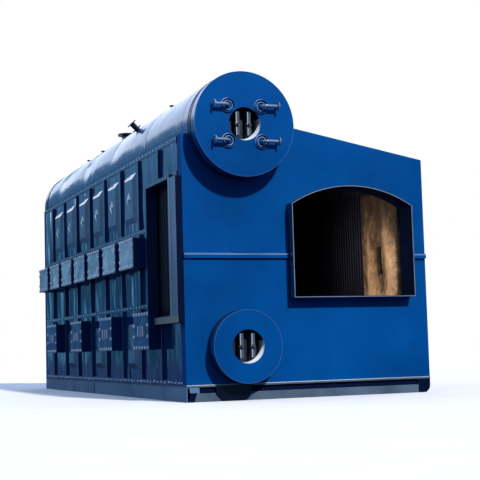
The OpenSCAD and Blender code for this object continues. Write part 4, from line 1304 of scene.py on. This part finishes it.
class BOILER_OT_lining(bpy.types.Operator):
    """The lumpy fibre blanket beside the burner, and the bricks of the furnace floor"""
    bl_idname = "boiler.lining"
    bl_label = "Lining"

    def execute(self, context):
        low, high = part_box("fibre_lining")
        ny, nz = LINING_CELLS
        slot = LINING_SLOT

        def build(form):
            # The layer keeps the fibre's height off the wall for the painted light and shade of its finish.
            tone = form.verts.layers.float.new("painted_light_relief")
            rows = []
            for i, y in enumerate(evenly(low.y - FRONT, high.y - FRONT, ny)):
                rows.append([])
                for k, z in enumerate(evenly(low.z, high.z, nz)):
                    rim = min(1.0, min(i, ny - i, k, nz - k) / 3.0)
                    out = max(0.0, lining_relief(y, z)) * rim
                    if slot[0] < y < slot[1] and slot[2] < z < slot[3]:
                        out = -SLOT_DEPTH
                    vert = form.verts.new((low.x - out, FRONT + y, z))
                    vert[tone] = out / RELIEF_RANGE
                    rows[-1].append(vert)
            close_sheet(form, rows, lambda place: (high.x, place.y, place.z))

        make_piece("fibre_blanket", build, "fibre", "refractory", ("fibre_lining",), 60.0)
        x = low.x - LEFT
        # A near-black plate at the bottom of the slot: painted shade.
        box = (at(x + 0.030, slot[0], slot[2]), at(x + 0.040, slot[1], slot[3]))
        make_boxes("slot_painted_shade", [box], "shade", "tube_steel")
        low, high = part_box("brick_floor")
        paths = []
        for i in range(int((high.x - low.x - 0.02) / COURSE_PITCH)):
            x, z = low.x + 0.07 + i * COURSE_PITCH, high.z - 0.021
            shift = 0.0 if i % 2 else BRICK_PITCH / 2
            paths.append(line(
                Vector((x, low.y + 0.13 + shift, z)), Vector((x, high.y - 0.25 + shift, z))))
        grow(
            "floor_bricks", "refractory", paths, "brick_courses", brick_tree, Brick=BRICK,
            Pitch=BRICK_PITCH, Unevenness=0.0015, Seed=7, Clay=finish_of("brick"))
        return {"FINISHED"}


# Window, plates, welds and roof

class BOILER_OT_window_bolts(bpy.types.Operator):
    """Bolts round the flue window's flange, and its front member, sill, facing and lips; the member's front
    is near-black painted shade, the facing and lips are pale painted light and painted highlights
    """
    bl_idname = "boiler.window_bolts"
    bl_label = "Window bolts"

    def execute(self, context):
        face, inset = -0.010, 0.030
        y1, z0, z1 = WINDOW[1] - inset, WINDOW[2] + inset, WINDOW[3] - inset
        rows = [
            line(at(face, 0.46, z1), at(face, y1, z1)),
            line(at(face, y1, z0 + 0.3), at(face, y1, z1 - 0.13))]
        fasten("bolt", "window_bolts", "bare_steel", rows, (-1, 0, 0), "rivet", 0.135, 0.012, 0.009)
        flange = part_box("flue_window_frame")[0].x - LEFT
        skin, wall = -MEMBER_REACH, 0.001
        outline = [(wall, 0.004), (skin, 0.004), (skin, 0.298), (flange - 0.0015, 0.4385), (wall, 0.4385)]
        loops = [[at(x, y, z) for x, y in outline] for z in (MEMBER_FOOT, MEMBER_TOP)]
        # The member's near-black finish is painted shade on its front.
        make_shells("window_member", [loops], "liner", "trim_paint")
        foot, top = SILL_TOP + 0.002, MEMBER_TOP - 0.002
        # The sill has its own colour; the pale facing and lips on the member's outer face are painted light
        # and painted highlights.
        for name, finish, boxes in (
                ("window_sill", "sill", [
                    (skin - 0.004, 0.0055, MEMBER_FOOT, wall, LOWER_HATCHES[0][0] - 0.004, SILL_TOP)]),
                ("window_painted_light_facing", "facing", [(skin - 0.002, 0.006, foot, skin + 0.001, 0.206, top)]),
                ("window_lip_highlights", "lip", [
                    (skin - 0.004, 0.212, foot, skin + 0.001, 0.296, top),
                    (face - 0.0015, WINDOW[1] - 0.006, 1.25, face + 0.001, WINDOW[1], 2.85)])):
            make_boxes(name, [(at(*b[:3]), at(*b[3:])) for b in boxes], finish, "trim_paint")
        return {"FINISHED"}


class BOILER_OT_plates(bpy.types.Operator):
    """Thin plates: a patch on the front wall and splices on the beams; near-black boxes and plates on the
    beam ends, at the left corner and in the gap under the casing, painted shade; and a plate on the left
    corner post
    """
    bl_idname = "boiler.plates"
    bl_label = "Plates"

    def execute(self, context):
        patch = [(0.925, 1.835)] + corner_arc(0.675, 1.895, 0.06, (0, 22.5, 45, 67.5, 90), -1)
        patch += [(0.615, 1.995), (0.925, 1.995)]
        make_shells("front_patch", [plate(patch, 0.0, 0.006)], "front", "blue_paint")
        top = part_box("base_beam_left")[1].z - 0.012
        boxes = [
            (at(x0, LENGTH / 2 + 0.44, 0.012), at(x1, LENGTH / 2 + 0.50, top))
            for x0, x1 in ((-0.006, 0.001), (WIDTH - 0.001, WIDTH + 0.006))]
        make_boxes("beam_splices", boxes, "beam", "base_paint")
        # Near-black boxes over the right beam's end faces: painted shade.
        low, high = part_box("base_beam_right")
        boxes = [
            (Vector((low.x + 0.002, y - 0.0015, low.z + 0.002)),
             Vector((high.x - 0.002, y + 0.0015, high.z - 0.002))) for y in (low.y, high.y)]
        make_boxes("beam_end_painted_shade", boxes, "shade", "base_paint")
        ends = [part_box(name) for name in ("base_cross_beams", "foot_posts", "base_beam_right")]
        near, far = min(e[0].y for e in ends) - FRONT, max(e[1].y for e in ends) - FRONT
        # Near-black plates at the right ends, at the left corner and in the gap under the casing: painted
        # shade.
        cap_low, cap_high, inner = 0.004, high.z + 0.02, WIDTH - 0.176
        end_shade_outline = [(inner, cap_low)] + corner_arc(WIDTH - 0.090, 0.092, 0.088, (0, 18, 36, 54, 72, 90), 1)
        end_shade_outline += [(WIDTH - 0.002, cap_high), (inner, cap_high)]
        corner_shade_outline = [(0.012, cap_low), (0.100, cap_low), (0.135, 0.112), (0.062, 0.112)]
        gap_shade_outline = [(0.135, 0.11), (WIDTH - 0.17, 0.11), (WIDTH - 0.17, 0.235), (0.135, 0.235)]
        post = [(0.040, 0.114), (0.128, 0.114), (0.128, cap_high), (0.040, cap_high)]
        for name, finish, outline, places, thickness in (
                ("end_cap_painted_shade", "liner", end_shade_outline, (near, far + 0.004), 0.004),
                ("corner_painted_shade", "liner", corner_shade_outline, (near,), 0.004),
                ("gap_painted_shade", "liner", gap_shade_outline, (near + 0.03,), 0.004),
                ("corner_post", "post", post, (near,), 0.005)):
            make_shells(name, [plate(outline, y, thickness) for y in places], finish, "base_paint")
        return {"FINISHED"}


class BOILER_OT_welds(bpy.types.Operator):
    """Weld beads on the end walls, the drum covers and the gauge sleeves"""
    bl_idname = "boiler.welds"
    bl_label = "Welds"

    def execute(self, context):
        radius = context.scene.boiler_sizes.weld_radius
        paths = [(arch_path(COLLAR + radius * 0.4, -radius * 0.3), True)]
        start, end = roof_angle() + 0.5, eave_angle()
        for y in (-0.002, LENGTH + 0.002):
            paths.append((drum_arc(UPPER_R + radius * 0.5, y, UPPER_Z, end, 360.0 + start), False))
            paths.append((drum_arc(LOWER_R + radius * 0.5, y, LOWER_Z, 0.0, 360.0)[:-1], True))
        for z in (corner.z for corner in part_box("front_rib")):
            for y in (0.0, LENGTH):
                for x0, x1 in ((0.01, 1.38), (3.15, WIDTH - 0.01)):
                    paths.append(line(at(x0, y, z), at(x1, y, z)))
        weld("wall_welds", paths, "front", radius, 0.012)
        rings = []
        for dx in (-GAUGE_OFFSET, GAUGE_OFFSET):
            for dz in (-GAUGE_OFFSET, GAUGE_OFFSET):
                centre = at(DRUM_X + dx, -UPPER_REACH - 0.012, UPPER_Z + dz)
                for r in (0.0895, 0.0585):
                    rings.append((circle_path(centre, r, (1, 0, 0), (0, 0, 1), 32), True))
        weld("gauge_welds", rings, "ring", 0.004, 0.008)
        return {"FINISHED"}


class BOILER_OT_roof_seams(bpy.types.Operator):
    """Cover strips across the roof, with their rivets"""
    bl_idname = "boiler.roof_seams"
    bl_label = "Roof seams"

    def execute(self, context):
        sizes = context.scene.boiler_sizes
        half, thickness = 0.03, 0.006
        x0 = DRUM_X + (UPPER_R + 0.006) * math.cos(math.radians(roof_angle()))
        strips = [[[
            at(x, y - half, roof_top(x)), at(x, y + half, roof_top(x)),
            at(x, y + half, roof_top(x) + thickness), at(x, y - half, roof_top(x) + thickness)]
            for x in (x0 + 0.01, WIDTH - 0.004)] for y in RIB_PLACES]
        make_shells("roof_strips", strips, "trim", "trim_paint")
        paths = [
            line(*(at(x, y, roof_top(x) + thickness) for x in (x0 + 0.08, WIDTH - 0.06)))
            for y in RIB_PLACES]
        fasten(
            "rivet", "roof_rivets", "trim_paint", paths, (ROOF_SLOPE, 0.0, 1.0), "trim",
            sizes.rivet_pitch, sizes.rivet_radius, 0.008)
        return {"FINISHED"}


OPERATORS = (
    BOILER_OT_stage, BOILER_OT_finishes, BOILER_OT_side_sheets, BOILER_OT_rib_edges,
    BOILER_OT_strip_rivets, BOILER_OT_hatch_bolts, BOILER_OT_drum_hoops, BOILER_OT_jacket_seams,
    BOILER_OT_manholes, BOILER_OT_vent_spools, BOILER_OT_strip_wear, BOILER_OT_nozzle_bolts,
    BOILER_OT_arch_edge, BOILER_OT_lining, BOILER_OT_window_bolts, BOILER_OT_plates,
    BOILER_OT_welds, BOILER_OT_roof_seams,
)


class BOILER_PT_panel(bpy.types.Panel):
    bl_label = "Boiler"
    bl_space_type = "VIEW_3D"
    bl_region_type = "UI"
    bl_category = "Boiler"

    def draw(self, context):
        for item in OPERATORS:
            self.layout.operator(item.bl_idname)


CLASSES = (BoilerPaints, BoilerSizes, BoilerStage) + OPERATORS + (BOILER_PT_panel,)


def register():
    for item in CLASSES:
        bpy.utils.register_class(item)
    bpy.types.Scene.boiler_paints = PointerProperty(type=BoilerPaints)
    bpy.types.Scene.boiler_sizes = PointerProperty(type=BoilerSizes)
    bpy.types.Scene.boiler_stage = PointerProperty(type=BoilerStage)


def unregister():
    del bpy.types.Scene.boiler_stage
    del bpy.types.Scene.boiler_sizes
    del bpy.types.Scene.boiler_paints
    for item in reversed(CLASSES):
        bpy.utils.unregister_class(item)


def main():
    register()
    for item in OPERATORS:
        getattr(bpy.ops.boiler, item.bl_idname.split(".")[1])()


if __name__ == "__main__":
    main()
